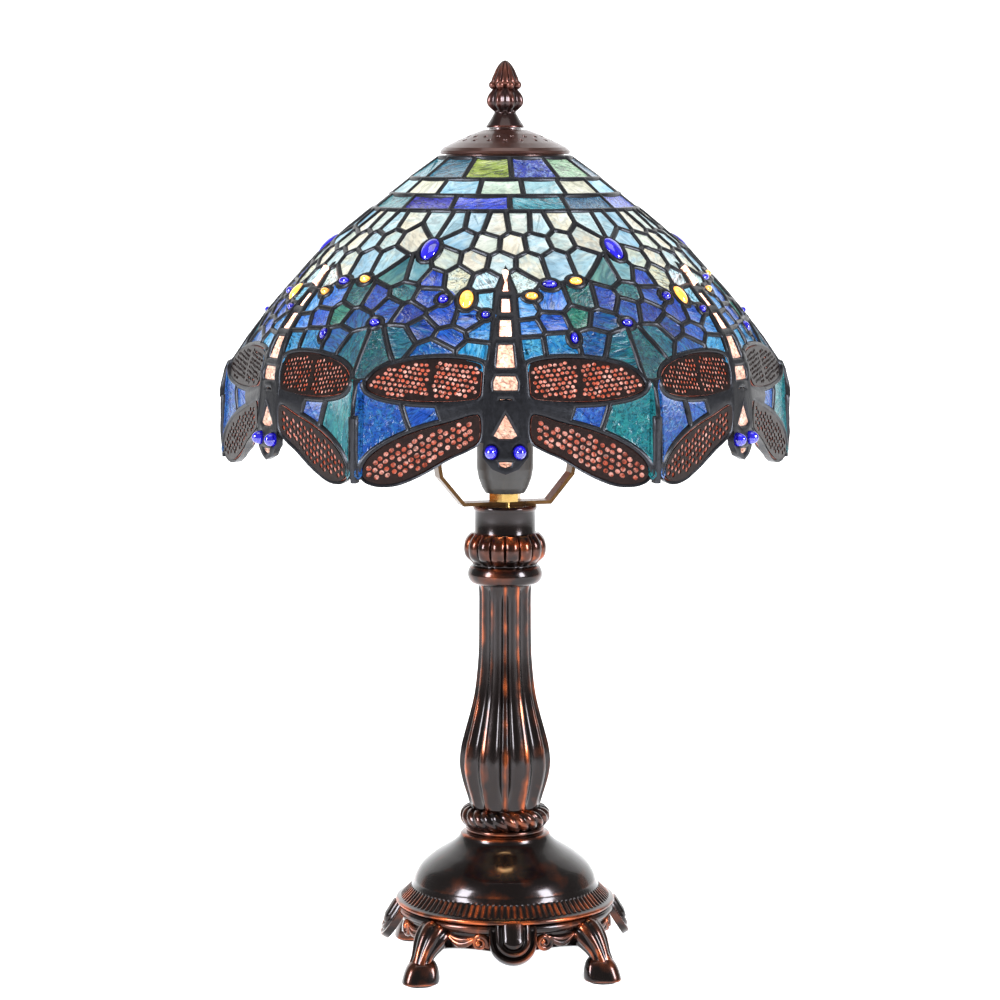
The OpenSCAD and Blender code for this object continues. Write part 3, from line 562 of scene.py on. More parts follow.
spots, loops = [], []
cells = [nearest_cell(c, [o for o, _, _ in every_centre if (o - c).length > 1]) for c, _, k in every_centre
         if abs(k) < 2]
for outline in [points for *_, points in laid] + cells + [zone]:
    loop = []
    for p in outline:
        loop.append(len(spots))
        spots.append(Vector((round(p.x, 2), round(p.y, 2))))
    loops.append(loop)
cuts = [(p, q) for loop in loops for p, q in zip(loop, loop[1:] + loop[:1])]
cut_spots, _, cut_loops, *_ = delaunay_2d_cdt(spots, cuts, [], 0, 0.03, True)
print("triangles on the map:", len(cut_loops))


# %% Joining the triangles that share an owner
def holds(points, spot):
    """True if a closed outline holds a spot."""
    inside = False
    for p, q in zip(points, points[1:] + points[:1]):
        if (p.y > spot.y) != (q.y > spot.y) and spot.x < p.x + (q.x - p.x) * (spot.y - p.y) / (q.y - p.y):
            inside = not inside
    return inside


def owner_of(spot):
    """The kind, number and copy of what lies on top at a spot, or nothing outside the shade."""
    for kind, number, copy, points in reversed(laid):
        if holds(points, spot):
            return kind, number, copy
    if not holds(zone, spot):
        return None
    _, number, copy = min((((c - spot).length, i, k) for c, i, k in every_centre))
    return "pane", number, copy


net = bmesh.new()
owner_layer = net.faces.layers.int.new("owner")
corners = [net.verts.new((p.x, p.y, 0)) for p in cut_spots]
names = []
for loop in cut_loops:
    spot = sum((cut_spots[i] for i in loop), Vector((0, 0))) / len(loop)
    if abs(spot.x) > 50 * SHEET:
        continue
    owner = owner_of(spot)
    if owner is None or owner[2] != 0:
        continue
    if owner not in names:
        names.append(owner)
    face = net.faces.new([corners[i] for i in loop])
    face[owner_layer] = names.index(owner)
bmesh.ops.dissolve_edges(net, edges=[e for e in net.edges if len(e.link_faces) == 2 and
                                     len({f[owner_layer] for f in e.link_faces}) == 1])
bmesh.ops.delete(net, geom=[v for v in net.verts if not v.link_faces], context="VERTS")
bmesh.ops.remove_doubles(net, verts=net.verts, dist=0.5)
long_edges = [e for e in net.edges if e.calc_length() > 5]
for e in long_edges:
    bmesh.ops.subdivide_edges(net, edges=[e], cuts=int(e.calc_length() // 4))
bmesh.ops.recalc_face_normals(net, faces=net.faces)
if sum(f.normal.z for f in net.faces) < 0:
    bmesh.ops.reverse_faces(net, faces=net.faces)
print("panes in one sixth:", len(net.faces), "edges:", len(net.edges))

# %% [markdown]
# ## Solder and glass
#
# On the real shade each pane's edge is wrapped in copper foil, and solder is run along every seam until it
# stands up in a rounded bead. Here each polygon of the map is stepped inward twice: the first step makes the
# crown of the bead and the second its shoulder, which ends on the glass. What is left inside is the pane.
# A pane is cut from flat glass, so its corners are brought onto one flat plane.

# %% Stepping a polygon inward
def step_in(bm, face, inward, rise):
    """Rings a polygon with a band of the given width, and returns the smaller polygon inside it."""
    corners_of = list(face.verts)
    normal = face.normal.copy()
    inner = []
    for before, here, after in zip(corners_of[-1:] + corners_of[:-1], corners_of,
                                   corners_of[1:] + corners_of[:1]):
        left = normal.cross(here.co - before.co).normalized()
        right = normal.cross(after.co - here.co).normalized()
        middle = left + right
        # A sharp corner steps farther in, but never more than two and a half times the width
        reach = min(2.5, 2 / max(middle.length_squared, 0.1)) if middle.length > 1e-6 else 1
        inner.append(bm.verts.new(here.co + middle * reach * inward + normal * rise))
    for i, corner in enumerate(corners_of):
        j = (i + 1) % len(corners_of)
        bm.faces.new([corner, corners_of[j], inner[j], inner[i]], face)
    middle_face = bm.faces.new(inner, face)
    middle_face.normal_update()
    bmesh.ops.delete(bm, geom=[face], context="FACES_ONLY")
    return middle_face


def mould_normal(spot):
    """The direction straight out of the shade at a spot in space."""
    depth = min(max(top_edge - spot.z, 1), 168)
    lean = math.atan((mould_radius(0, depth + 1) - mould_radius(0, depth - 1)) / 2)
    turn = math.atan2(spot.x, -spot.y)
    return Vector((math.cos(lean) * math.sin(turn), -math.cos(lean) * math.cos(turn), math.sin(lean)))


# %% Beading the seams
# A polygon whose area is less than half of this many mm times its outline is all solder
sliver = 1.9


def bead_seams(bm, kind_of):
    """Raises solder beads along all edges, and returns the faces that stay glass."""
    bm.normal_update()
    glass = [f for f in bm.faces if kind_of(f) != "lead" and 2 * f.calc_area() / f.calc_perimeter() > sliver]
    glass = [step_in(bm, f, 0.7, -0.16) for f in glass]
    glass = [step_in(bm, f, 0.95, -0.86) for f in glass]
    for f in glass:
        middle, normal = f.calc_center_median(), f.normal.copy()
        for v in f.verts:
            v.co -= normal * (v.co - middle).dot(normal)
    return glass


def lay_pane(target, face, tint, streak, layers, rng, thick=3.0):
    """Adds one pane of flat glass with softened edges under a glass face of the net."""
    first = len(target.faces)
    normal = face.normal.copy()
    pane = target.faces.new([target.verts.new(v.co - normal * 0.05) for v in face.verts])
    pane.normal_update()
    back = bmesh.ops.extrude_face_region(target, geom=[pane])["geom"]
    bmesh.ops.translate(target, verts=[g for g in back if isinstance(g, bmesh.types.BMVert)],
                        vec=-normal * thick)
    bmesh.ops.reverse_faces(target, faces=[g for g in back if isinstance(g, bmesh.types.BMFace)])
    step_in(target, pane, 0.8, 0.22)
    grain = Vector((rng.uniform(0, 6), rng.uniform(0, 6), rng.uniform(0, 6)))
    dim = rng.uniform(0.88, 1.1)
    target.faces.ensure_lookup_table()
    for i in range(first, len(target.faces)):
        target.faces[i][layers[0]] = [c * dim for c in tint[:3]] + [1]
        target.faces[i][layers[1]] = streak
        target.faces[i][layers[2]] = grain


def pane_mesh():
    """A bmesh that holds panes, with the layers for their colours and their grain."""
    bm = bmesh.new()
    layers = (bm.faces.layers.float_color.new("tint"), bm.faces.layers.float_color.new("streak"),
              bm.faces.layers.float_vector.new("grain"))
    return bm, layers


def repeat_around(bm, count=6):
    """Copies a sixth round the shade's axis."""
    first = list(bm.verts) + list(bm.edges) + list(bm.faces)
    for i in range(1, count):
        made = bmesh.ops.duplicate(bm, geom=first)["geom"]
        bmesh.ops.rotate(bm, verts=[g for g in made if isinstance(g, bmesh.types.BMVert)],
                         matrix=Matrix.Rotation(math.tau * i / count, 3, "Z"))


# %% The field of one sixth
# Solder never runs quite even, so its crown wanders up and down by up to 0.3 mm
for v in net.verts:
    v.co = on_mould(v.co, 1.0 + 0.3 * noise.noise(v.co * 0.35 + Vector((3, 0, 0))))
field_glass = bead_seams(net, lambda f: names[f[owner_layer]][0])
wing_faces = {}
jewel_faces = []
rng = random.Random(11)
pane_sets = {name: pane_mesh() for name in ("sky", "blue", "skirt", "upper_wings", "lower_wings", "body")}
for face in field_glass:
    kind, number, _ = names[face[owner_layer]]
    if kind == "pane":
        a, depth, tint, streak = pane_centres[number]
        target = "sky" if depth < 59 else "blue" if depth < 110 else "skirt"
        lay_pane(pane_sets[target][0], face, srgb(tint), srgb(streak), pane_sets[target][1], rng)
    elif kind == "wing":
        wing_faces[number] = [v.co.copy() for v in face.verts]
        target = "upper_wings" if number < 2 else "lower_wings"
        lay_pane(pane_sets[target][0], face, srgb("#b4523c"), srgb("#ffd4c8"), pane_sets[target][1], rng)
    elif kind == "body":
        # The bulb is straight behind the upper part of the body, so its upper panes get a painted hot spot: their
        # tint and streak are brightened up to 2.6 times
        painted_hotspot = (2.4, 2.6, 2.4, 1.4, 1, 1, 1, 1)[number]
        tint, streak = [c * painted_hotspot for c in srgb("#d89c84")[:3]], [c * painted_hotspot for c in srgb("#f8dcc8")[:3]] + [1]
        lay_pane(pane_sets["body"][0], face, tint, streak, pane_sets["body"][1], rng)
    elif kind == "jewel":
        jewel_faces.append((number, face.calc_center_median(), face.normal.copy(),
                            [v.co.copy() for v in face.verts]))
print("wings:", sorted(wing_faces), "jewels and eyes:", len(jewel_faces))
print({name: len(bm.faces) for name, (bm, _) in pane_sets.items()})

# %% [markdown]
# ## The crown
#
# Three rows of tiles close the top of the shade: twelve, sixteen and fourteen of them, from the cap down.
# They do not repeat with the dragonflies, so they are laid out for the whole round at once. Each ring of
# lead between two rows carries the corners of the tiles above it and below it.

# %% Tiles of the crown
crown_rows = [(0.6, 11.6, 12, 4), (11.6, 19.8, 16, 9), (19.8, 27.4, 14, 2)]
crown_colours = [
    [("#1634a8", "#a8c4f4"), ("#86b48c", "#c8dcc0"), ("#24506c", "#5f90a8"), ("#1a6c80", "#5fb0bc"),
     ("#14607c", "#4f9cb4"), ("#8aa42a", "#c4cc64")],
    [("#a4d6e0", "#e8f6f2"), ("#dcdcc0", "#f8f8ea"), ("#8fcae4", "#d4eef0"), ("#c4e0c8", "#f0f4e0")],
    [("#14788c", "#5fc0cc"), ("#24587c", "#5f90a8"), ("#1838b0", "#4878dc"), ("#30289c", "#5f64c4"),
     ("#1c7480", "#5fb4b4"), ("#2420a0", "#4f58c8"), ("#1430c0", "#3f68e0")]]
crown = bmesh.new()
ring_stops = []
for depth in (0.6, 11.6, 19.8, 27.4):
    stops = {float(a) for a in range(0, 360, 5)}
    for top, low, count, first in crown_rows:
        if depth in (top, low):
            stops |= {(first + 360 / count * i) % 360 for i in range(count)}
    stops = sorted(stops)
    stops = [a for a, b in zip(stops, stops[1:] + [stops[0] + 360]) if b - a > 1.2 or a % 5]
    ring_stops.append({a: crown.verts.new(sheet(a, depth).to_3d()) for a in stops})
crown_owner = crown.faces.layers.int.new("owner")
for row, (top, low, count, first) in enumerate(crown_rows):
    for i in range(count):
        start = (first + 360 / count * i) % 360
        run = [sorted(((a - start) % 360, v) for a, v in ring_stops[row + k].items()) for k in (0, 1)]
        over, under = ([v for turn, v in line if turn < 360 / count + 0.01] for line in run)
        closing = (start + 360 / count) % 360
        for line, k in ((over, 0), (under, 1)):
            last = min(ring_stops[row + k].items(), key=lambda item: min(abs(item[0] - closing),
                                                                         360 - abs(item[0] - closing)))[1]
            if last not in line:
                line.append(last)
        face = crown.faces.new(under + over[::-1])
        face[crown_owner] = row * 100 + i
for v in crown.verts:
    v.co = on_mould(v.co.xy, 1.0 + 0.15 * noise.noise(Vector((v.co.x * 0.3, v.co.y, 7))))
crown_glass = bead_seams(crown, lambda f: "pane")
crown_sets = [pane_mesh() for _ in crown_rows]
for face in crown_glass:
    row, i = divmod(face[crown_owner], 100)
    tint, streak = crown_colours[row][i % len(crown_colours[row])]
    lay_pane(crown_sets[row][0], face, srgb(tint), srgb(streak), crown_sets[row][1], rng)
print("crown tiles:", len(crown_glass))


# %% [markdown]
# ## Closing the leading
#
# The glass faces are taken out of both nets, and what is left is the front of the solder. It is given the
# depth of the glass and a little more, so that a bead stands on the inside as well.

# %% The leading of the whole shade
for bm, glass in ((net, field_glass), (crown, crown_glass)):
    bmesh.ops.delete(bm, geom=glass, context="FACES_ONLY")
repeat_around(net)
merge(net, crown)
bmesh.ops.remove_doubles(net, verts=net.verts, dist=0.06)
bmesh.ops.dissolve_degenerate(net, edges=net.edges, dist=0.02)
net.normal_update()
back = bmesh.ops.extrude_face_region(net, geom=list(net.faces), use_keep_orig=True)["geom"]
for g in back:
    if isinstance(g, bmesh.types.BMVert):
        g.co -= mould_normal(g.co) * 3.6
bmesh.ops.recalc_face_normals(net, faces=net.faces)
put("leading", net, [solder], "shade", ["crown_leading", "field_leading", "skirt_leading"], 50)

# %% The glass of the whole shade
for name, (bm, _) in pane_sets.items():
    repeat_around(bm)
    grain, tint = bm.faces.layers.float_vector["grain"], bm.faces.layers.float_color["tint"]
    shift = [(Vector((rng.uniform(0, 3), rng.uniform(0, 3), 0)), rng.uniform(0.9, 1.08)) for _ in range(6)]
    share = len(bm.faces) // 6
    bm.faces.ensure_lookup_table()
    for i, face in enumerate(bm.faces):
        move, dim = shift[i // share]
        face[grain] = face[grain] + move
        face[tint] = [c * dim for c in face[tint][:3]] + [1]
for name, bm, glass, slot, node in (
        ("sky_panes", pane_sets["sky"][0], opal_glass, "sky_glass", "sky_glass"),
        ("blue_panes", pane_sets["blue"][0], ripple_glass, "blue_glass", "blue_glass"),
        ("skirt_panes", pane_sets["skirt"][0], ripple_glass, "skirt_glass", "skirt_glass"),
        ("upper_wing_panes", pane_sets["upper_wings"][0], wing_glass, "wing_glass", "upper_wings"),
        ("lower_wing_panes", pane_sets["lower_wings"][0], wing_glass, "wing_glass", "lower_wings"),
        ("body_panes", pane_sets["body"][0], wing_glass, "body_glass", "dragonfly_bodies"),
        ("crown_top_panes", crown_sets[0][0], ripple_glass, "teal_glass", "crown_tiles_top"),
        ("crown_middle_panes", crown_sets[1][0], opal_glass, "ice_glass", "crown_tiles_middle"),
        ("crown_lower_panes", crown_sets[2][0], ripple_glass, "violet_glass", "crown_tiles_lower")):
    put(name, bm, [glass], "shade", [node])

# %% [markdown]
# ## Jewels and eyes
#
# Jewels are pressed domes of glass with a round bead of solder round their foot. Each is a ball, squeezed to
# its oval and half sunk in the shade. A dragonfly's eyes are balls that stand farther out.


# %% Domes on the shade
def dome_on(bm, middle, normal, rim, proud):
    """A squeezed ball whose equator fits a rim, and that stands so many mm proud."""
    up = (Vector((0, 0, 1)) - normal * normal.z).normalized()
    side = up.cross(normal).normalized()
    wide = max(abs((p - middle).dot(side)) for p in rim) + 0.25
    tall = max(abs((p - middle).dot(up)) for p in rim) + 0.25
    made = bmesh.ops.create_uvsphere(bm, u_segments=24, v_segments=16, radius=1)["verts"]
    frame_of = Matrix((side * wide, up * tall, normal * proud)).transposed().to_4x4()
    bmesh.ops.transform(bm, matrix=Matrix.Translation(middle) @ frame_of, verts=made)


cobalt, amber, eyes = bmesh.new(), bmesh.new(), bmesh.new()
for number, middle, normal, rim in jewel_faces:
    if number == EYE:
        dome_on(eyes, middle + normal * 1.2, normal, rim, 4.4)
    elif number < len(cobalt_places):
        dome_on(cobalt, middle, normal, rim, 2.6)
    else:
        dome_on(amber, middle, normal, rim, 2.4)
for bm in (cobalt, amber, eyes):
    bmesh.ops.recalc_face_normals(bm, faces=bm.faces)
    repeat_around(bm)
put("cobalt_jewels", cobalt, [cobalt_jewel], "shade", ["blue_jewels"])
put("amber_jewel_domes", amber, [amber_jewel], "shade", ["amber_jewels"])
put("eyes", eyes, [cobalt_jewel], "shade", ["dragonfly_eyes"])

# %% [markdown]
# ## Filigree
#
# Over each wing lies a thin brass sheet, etched through in a net of fine holes, like the veins of a real
# dragonfly's wing. The holes stand in slanted rows. The sheet is drawn flat on the plane of its wing, cut
# with its holes, and given its thickness.


# %% Etched sheets
def edge_distance(spot, p, q):
    """How far a spot is from the edge between two points."""
    share = (spot - p).dot(q - p) / max(1e-6, (q - p).length_squared)
    return (spot - p.lerp(q, min(1, max(0, share)))).length


def etched_sheet(outline, rows_apart, holes_apart, hole, slant, bars, border=0.7):
    """A flat sheet with oval holes in slanted rows, on the plane of its outline."""
    middle = sum(outline, Vector()) / len(outline)
    normal = Vector()
    for p, q in zip(outline, outline[1:] + outline[:1]):
        normal += (p - middle).cross(q - middle)
    normal.normalize()
    side = Vector((0, 0, 1)).cross(normal).normalized()
    if side.x < 0:
        side = -side
    up = normal.cross(side).normalized()
    if up.z < 0:
        up = -up
    flat = [Vector(((p - middle).dot(side), (p - middle).dot(up))) for p in outline]
    area = sum(p.x * q.y - q.x * p.y for p, q in zip(flat, flat[1:] + flat[:1]))
    flat = flat if area > 0 else flat[::-1]
    loops, points = [list(range(len(flat)))], list(flat)
    along = Vector((math.cos(slant), math.sin(slant)))
    across = Vector((-along.y, along.x))
    for i in range(-24, 25):
        for j in range(-24, 25):
            wobble = noise.noise(Vector((i * 1.7, j * 2.3, slant * 9))) * 0.3
            sway = noise.noise(Vector((i * 0.9, j * 0.7, 4 - slant * 5))) * 0.3
            spot = across * ((i + sway) * rows_apart) + along * ((j + 0.5 * (i % 2) + wobble) * holes_apart)
            clear = min(abs((spot - b0).dot(n)) for b0, n in bars) if bars else 9
            if clear < 1.5 or not holds(flat, spot):
                continue
            reach = min(edge_distance(spot, p, q) for p, q in zip(flat, flat[1:] + flat[:1]))
            if reach < hole[0] / 2 + border:
                continue
            loop = []
            for k in range(8):
                t = math.tau * k / 8
                loop.append(len(points))
                points.append(spot + along * (hole[0] / 2 * (1 - wobble / 2) * math.cos(t)) +
                              across * (hole[1] / 2 * (1 - sway / 2) * math.sin(t)))
            loops.append(loop)
    cuts = [(p, q) for loop in loops for p, q in zip(loop, loop[1:] + loop[:1])]
    made, _, triangles, *_ = delaunay_2d_cdt(points, cuts, [], 0, 0.001, True)
    holes = [[points[i] for i in loop] for loop in loops[1:]]
    centres_of = [sum(h, Vector((0, 0))) / len(h) for h in holes]
    kept = []
    for tri in triangles:
        spot = sum((made[i] for i in tri), Vector((0, 0))) / 3
        if not holds(flat, spot):
            continue
        if any((spot - c).length < hole[0] and holds(h, spot) for h, c in zip(holes, centres_of)):
            continue
        kept.append(tri)
    return [middle + side * p.x + up * p.y for p in made], kept, normal, len(holes)


def add_sheet(bm, outline, thick, lift, **pattern):
    """Adds a sheet of a thickness, lifted off its outline, and returns the number of its holes."""
    points, triangles, normal, count = etched_sheet(outline, **pattern)
    if normal.dot(Vector((points[0].x, points[0].y, 0))) < 0:
        normal = -normal
    corners_of = {}
    faces = []
    for tri in triangles:
        for i in tri:
            if i not in corners_of:
                corners_of[i] = bm.verts.new(points[i] + normal * (lift + thick))
        faces.append(bm.faces.new([corners_of[i] for i in tri]))
    for f in faces:
        f.normal_update()
        if f.normal.dot(normal) < 0:
            f.normal_flip()
    back = bmesh.ops.extrude_face_region(bm, geom=faces, use_keep_orig=True)["geom"]
    bmesh.ops.translate(bm, verts=[g for g in back if isinstance(g, bmesh.types.BMVert)], vec=-normal * thick)
    return count


upper_sheets, lower_sheets = bmesh.new(), bmesh.new()
counts = []
for number, corners_3d in sorted(wing_faces.items()):
    sign = 1 if number % 2 == 0 else -1
    if number < 2:
        counts.append(add_sheet(upper_sheets, corners_3d, 0.7, 0.35, rows_apart=2.35, holes_apart=2.6,
                                hole=(2.1, 1.8), slant=sign * math.radians(8),
                                bars=[(Vector((-sign * 2, 0)), Vector((1, 0)))]))
    else:
        counts.append(add_sheet(lower_sheets, corners_3d, 0.7, 0.35, rows_apart=3.0, holes_apart=3.6,
                                hole=(2.9, 2.3), slant=-sign * math.radians(36), bars=[]))
print("holes in the sheets:", counts)
for bm in (upper_sheets, lower_sheets):
    bmesh.ops.recalc_face_normals(bm, faces=bm.faces)
    repeat_around(bm)
put("upper_filigree", upper_sheets, [pierced], "shade", ["upper_wing_filigree"], 60)
put("lower_filigree", lower_sheets, [pierced], "shade", ["lower_wing_filigree"], 60)

# %% [markdown]
# ## The cast stand
#
# The base, the shaft and the knop are hollow castings, cleaned up on a lathe and left with ornament in
# relief. Each is a skin over rings of points: a smooth profile gives the rings their size, and a relief of
# flutes, lobes or ribs pushes each point in or out.


# %% Skins over rings
def smooth_rows(rows, per=5):
    """Puts a smooth curve through the rows of a profile, with so many steps between two rows."""
    dense = []
    for i in range(len(rows) - 1):
        p0, p1, p2, p3 = rows[max(0, i - 1)], rows[i], rows[i + 1], rows[min(len(rows) - 1, i + 2)]
        for k in range(per):
            t = k / per
            dense.append([0.5 * (2 * b + (c - a) * t + (2 * a - 5 * b + 4 * c - d) * t * t +
                                 (3 * b - a - 3 * c + d) * t ** 3) for a, b, c, d in zip(p0, p1, p2, p3)])
    return dense + [list(rows[-1])]


def skin(bm, rings, capped=True):
    """Joins rings of as many points into one surface, closed at both ends if wanted."""
    made = [[bm.verts.new(p) for p in ring] for ring in rings]
    for low, high in zip(made, made[1:]):
        for i in range(len(low)):
            j = (i + 1) % len(low)
            bm.faces.new((low[i], low[j], high[j], high[i]))
    if capped:
        bm.faces.new(made[0][::-1])
        bm.faces.new(made[-1])


def turned(bm, rows, steps, radius_at, z=0.0, bore=0.0):
    """A turned piece with relief: radius_at takes a row and an angle. The bore leaves a hole through it."""
    angles = [math.tau * i / steps for i in range(steps)]
    rings = [[(radius_at(row, a) * math.cos(a), radius_at(row, a) * math.sin(a), z + row[1]) for a in angles]
             for row in rows]
    if bore:
        hole = [[(bore * math.cos(a), bore * math.sin(a), h) for a in angles]
                for h in (rings[-1][0][2], rings[0][0][2])]
        skin(bm, rings + hole + [rings[0]], capped=False)
        bmesh.ops.remove_doubles(bm, verts=bm.verts, dist=0.001)
    else:
        skin(bm, rings)
    bmesh.ops.recalc_face_normals(bm, faces=bm.faces)


def sweep_tube(bm, path, radii, steps=10):
    """A round bar along a path of points, with a radius at each."""
    rings = []
    for i, here in enumerate(path):
        ahead = (path[min(i + 1, len(path) - 1)] - path[max(i - 1, 0)]).normalized()
        side = ahead.cross(here.xy.to_3d()).normalized()
        if side.length < 0.5:
            side = ahead.orthogonal().normalized()
        out = side.cross(ahead).normalized()
        rings.append([here + (side * math.cos(t) + out * math.sin(t)) * radii[i]
                      for t in (math.tau * k / steps for k in range(steps))])
    skin(bm, rings)


def lobe(angle, count):
    """How far round its lobe an angle is, from 0 to 1."""
    return (angle * count / math.tau) % 1


# %% Heights of the stand's parts
SHAFT_Z, KNOP_Z, SLEEVE_Z, FINIAL_Z = 86, 207, 235, 450.6
ROD_BORE = 5.5       # the radius that each part leaves free for the threaded rod

# %% [markdown]
# ### Shaft
#
# Twelve hollow flutes run up the baluster shaft. Between them stand flat ridges, which the shop has rubbed
# to copper, some harder than others. The relief follows the sine of each flute, cut off where the ridge is.

# %% Fluted shaft
shaft_rows = smooth_rows([
    (19, 0, 0.5), (20.4, 5, 2.0), (22.6, 12, 3.0), (24.2, 19, 3.3), (24.6, 25, 3.3), (23.6, 33, 3.2),
    (21.3, 42, 3.0), (18.6, 52, 2.7), (16.4, 62, 2.4), (15, 74, 2.2), (14.2, 86, 2.0), (14, 104, 1.9),
    (14, 116, 1.7), (14.4, 121, 0.2)], 6)
shaft = bmesh.new()
flat_ridge = 0.36    # the share of a flute's sine that stays flat
turned(shaft, shaft_rows, 288,
       lambda row, a: row[0] - max(0, row[2]) * max(0, (math.sin(math.pi * lobe(a, 12)) - flat_ridge) /
                                                    (1 - flat_ridge)) ** 0.8, SHAFT_Z, ROD_BORE)
shaft_wear = shaft.verts.layers.float.new("wear")
for v in shaft.verts:
    turn = math.atan2(v.co.y, v.co.x)
    hollow = math.sin(math.pi * lobe(turn, 12))
    v[shaft_wear] = (0.7 + 0.3 * math.sin(5 * turn + 2)) * (1.15 - 1.7 * hollow) if v.co.xy.length > 6 else 0
put("shaft", shaft, [bronze_paint], "stand", ["fluted_shaft"], 50)

# %% [markdown]
# ### Knop
#
# The knop over the shaft is the other way round from it: sixteen raised lobes, with dark grooves between
# them, over a plain ring. The same turning function makes it, with its lobes pushed out instead of in.

# %% Knop with raised lobes
knop_rows = smooth_rows([
    (15.4, 0, 0), (18.8, 1.6, 0), (20.2, 5.4, 0), (19, 9.4, 0), (17.4, 10.8, 0.2), (18.6, 12.4, 1.6),
    (21.6, 15.6, 2.4), (22.4, 20, 2.6), (21.6, 24, 2.4), (19.2, 27, 1.8), (17.6, 28, 0)], 6)
knop = bmesh.new()
turned(knop, knop_rows, 320,
       lambda row, a: row[0] - max(0, row[2]) * (1 - math.sin(math.pi * lobe(a, 16)) ** 0.45), KNOP_Z,
       ROD_BORE)
mark_wear(knop, 3)
put("knop", knop, [bronze_paint], "stand", ["gadroon_knop"], 50)

# %% [markdown]
# ### Sleeve
#
# A short plain tube stands on the knop and carries the harp. It would be spun on a lathe, with a rolled lip at
# its top whose paint has worn off.

# %% Sleeve
sleeve = bmesh.new()
sleeve_rows = [(16.6, 0, 0), (16.4, 0.6, 0), (16.4, 11.6, 0), (16.6, 12.2, 0), (17.2, 12.8, 0), (17.2, 14.2, 0),
               (16.6, 15, 0)]
turned(sleeve, sleeve_rows, 128, lambda row, a: row[0], SLEEVE_Z, ROD_BORE)
mark_wear(sleeve, 2)
put("sleeve", sleeve, [bronze_paint], "stand", ["top_sleeve"], 50)

# %% [markdown]
# ### Rope collar
#
# A ring like a twisted rope sits between the dome and the shaft. Its strands turn round the ring's own
# circle as they go round the lamp, and a small moulding under it covers the joint.

# %% Rope collar
rope = bmesh.new()
rope_steps, strands = 420, 24
rings = []
for i in range(rope_steps):
    a = math.tau * i / rope_steps
    ring = []
    for k in range(28):
        t = math.tau * k / 28
        twist = (a * strands / math.tau + t * 1.5 / math.pi) % 1
        r = 5.6 - 1.3 * (1 - math.sin(math.pi * twist) ** 0.6)
        ring.append(((19 + r * math.cos(t)) * math.cos(a), (19 + r * math.cos(t)) * math.sin(a),
                     80.4 + r * math.sin(t)))
    rings.append(ring)
skin(rope, rings + [rings[0]], capped=False)
bmesh.ops.remove_doubles(rope, verts=rope.verts, dist=0.001)
turned(rope, [(20.6, 0), (21.4, 1), (21.4, 2), (20.4, 3), (18.4, 3.4), (18.4, 13), (19, 14)], 96,
       lambda row, a: row[0], 72, ROD_BORE)
mark_wear(rope, 2)
put("rope", rope, [bronze_paint], "stand", ["rope_collar"], 50)

# %% [markdown]
# ### Base
#
# The dome is left smooth and glossy, with a narrow band of reeding and a rolled lip round its skirt. It is
# a hollow casting, so its inside is a second skin.

# %% Dome
dome_rows = smooth_rows([
    (57.2, 33, 0), (58.8, 33.4, 0), (59.5, 34.4, 0), (59.0, 35.5, 0), (57.0, 36.2, 0), (56.4, 37, 0.9),
    (53.6, 39.8, 1.1), (51.4, 42, 0.8), (50.6, 42.8, 0), (49.9, 44.6, 0), (49.4, 46.4, 0), (48, 49.4, 0),
    (45.6, 53, 0), (42, 56.4, 0), (37.5, 59.8, 0), (33, 62.6, 0), (28.4, 65.6, 0), (25.2, 68.6, 0), (24, 71, 0),
    (22.4, 72, 0)], 4)
dome = bmesh.new()
turned(dome, dome_rows, 600, lambda row, a: row[0] - max(0, row[2]) * (1 - abs(math.sin(50 * a))), 0, 0)
bmesh.ops.delete(dome, geom=[f for f in dome.faces if len(f.verts) > 4 and f.calc_center_median().z < 34],
                 context="FACES_ONLY")
inside = [(57.2, 33), (53, 33), (53, 36), (46, 44), (43, 50.5), (35, 56.4), (25.6, 62), (12, 66)]
rings = [[(r * math.cos(a), r * math.sin(a), z) for a in (math.tau * i / 600 for i in range(600))]
         for r, z in inside]
skin(dome, rings, capped=False)
bmesh.ops.remove_doubles(dome, verts=dome.verts, dist=0.001)
bmesh.ops.recalc_face_normals(dome, faces=dome.faces)
mark_wear(dome, 6)
put("dome", dome, [bronze_paint], "stand", ["base_dome"], 50)

# %% [markdown]
# ### Apron
#
# Under the dome hangs the apron: a ring with a scalloped lower edge, a shell drop on each of the four sides,
# and on either side of each drop a scroll and two garlands. The ring is a skin, the drop is a stack of
# outlines that shrink as they rise, and the rest is bent bar.

# %% Apron with drops and scrolls
BASE_TURN = math.radians(4)


def apron_low(a):
    """Height of the apron's scalloped lower edge at an angle."""
    u = lobe(a - BASE_TURN + math.tau / 8, 4)
    return 15.6 + 3.4 * abs(math.sin(math.tau * u)) ** 0.7


apron = bmesh.new()
steps = 288
rings = []
for r, share, height in [(57.2, 0, 33), (58.7, 0, 32.2), (59.2, 0, 30.8), (58.8, 0, 29.2), (57.4, 0, 28.2),
                         (56.6, 0, 27.8), (56.2, 0.8, 0), (55.2, 0.55, 0), (55, 0.35, 0), (55.8, 0.16, 0),
                         (56.2, 0.08, 0), (55, 0, 0), (51, 0, 0), (49.4, 0.1, 0), (49, 0, 24.5), (47, 0, 24.6),
                         (47, 0, 33)]:
    rings.append([(r * math.cos(a), r * math.sin(a), height or apron_low(a) + (27.4 - apron_low(a)) * share)
                  for a in (math.tau * i / steps for i in range(steps))])
skin(apron, rings + [rings[0]], capped=False)
bmesh.ops.remove_doubles(apron, verts=apron.verts, dist=0.001)


def drop_point(x, y, h):
    """A point of the drop ornament, whose plate leans out from the ring."""
    tilt = math.radians(58)
    return Vector((55.2 + x * math.cos(tilt) + h * math.sin(tilt), y,
                   31.4 - x * math.sin(tilt) + h * math.cos(tilt)))


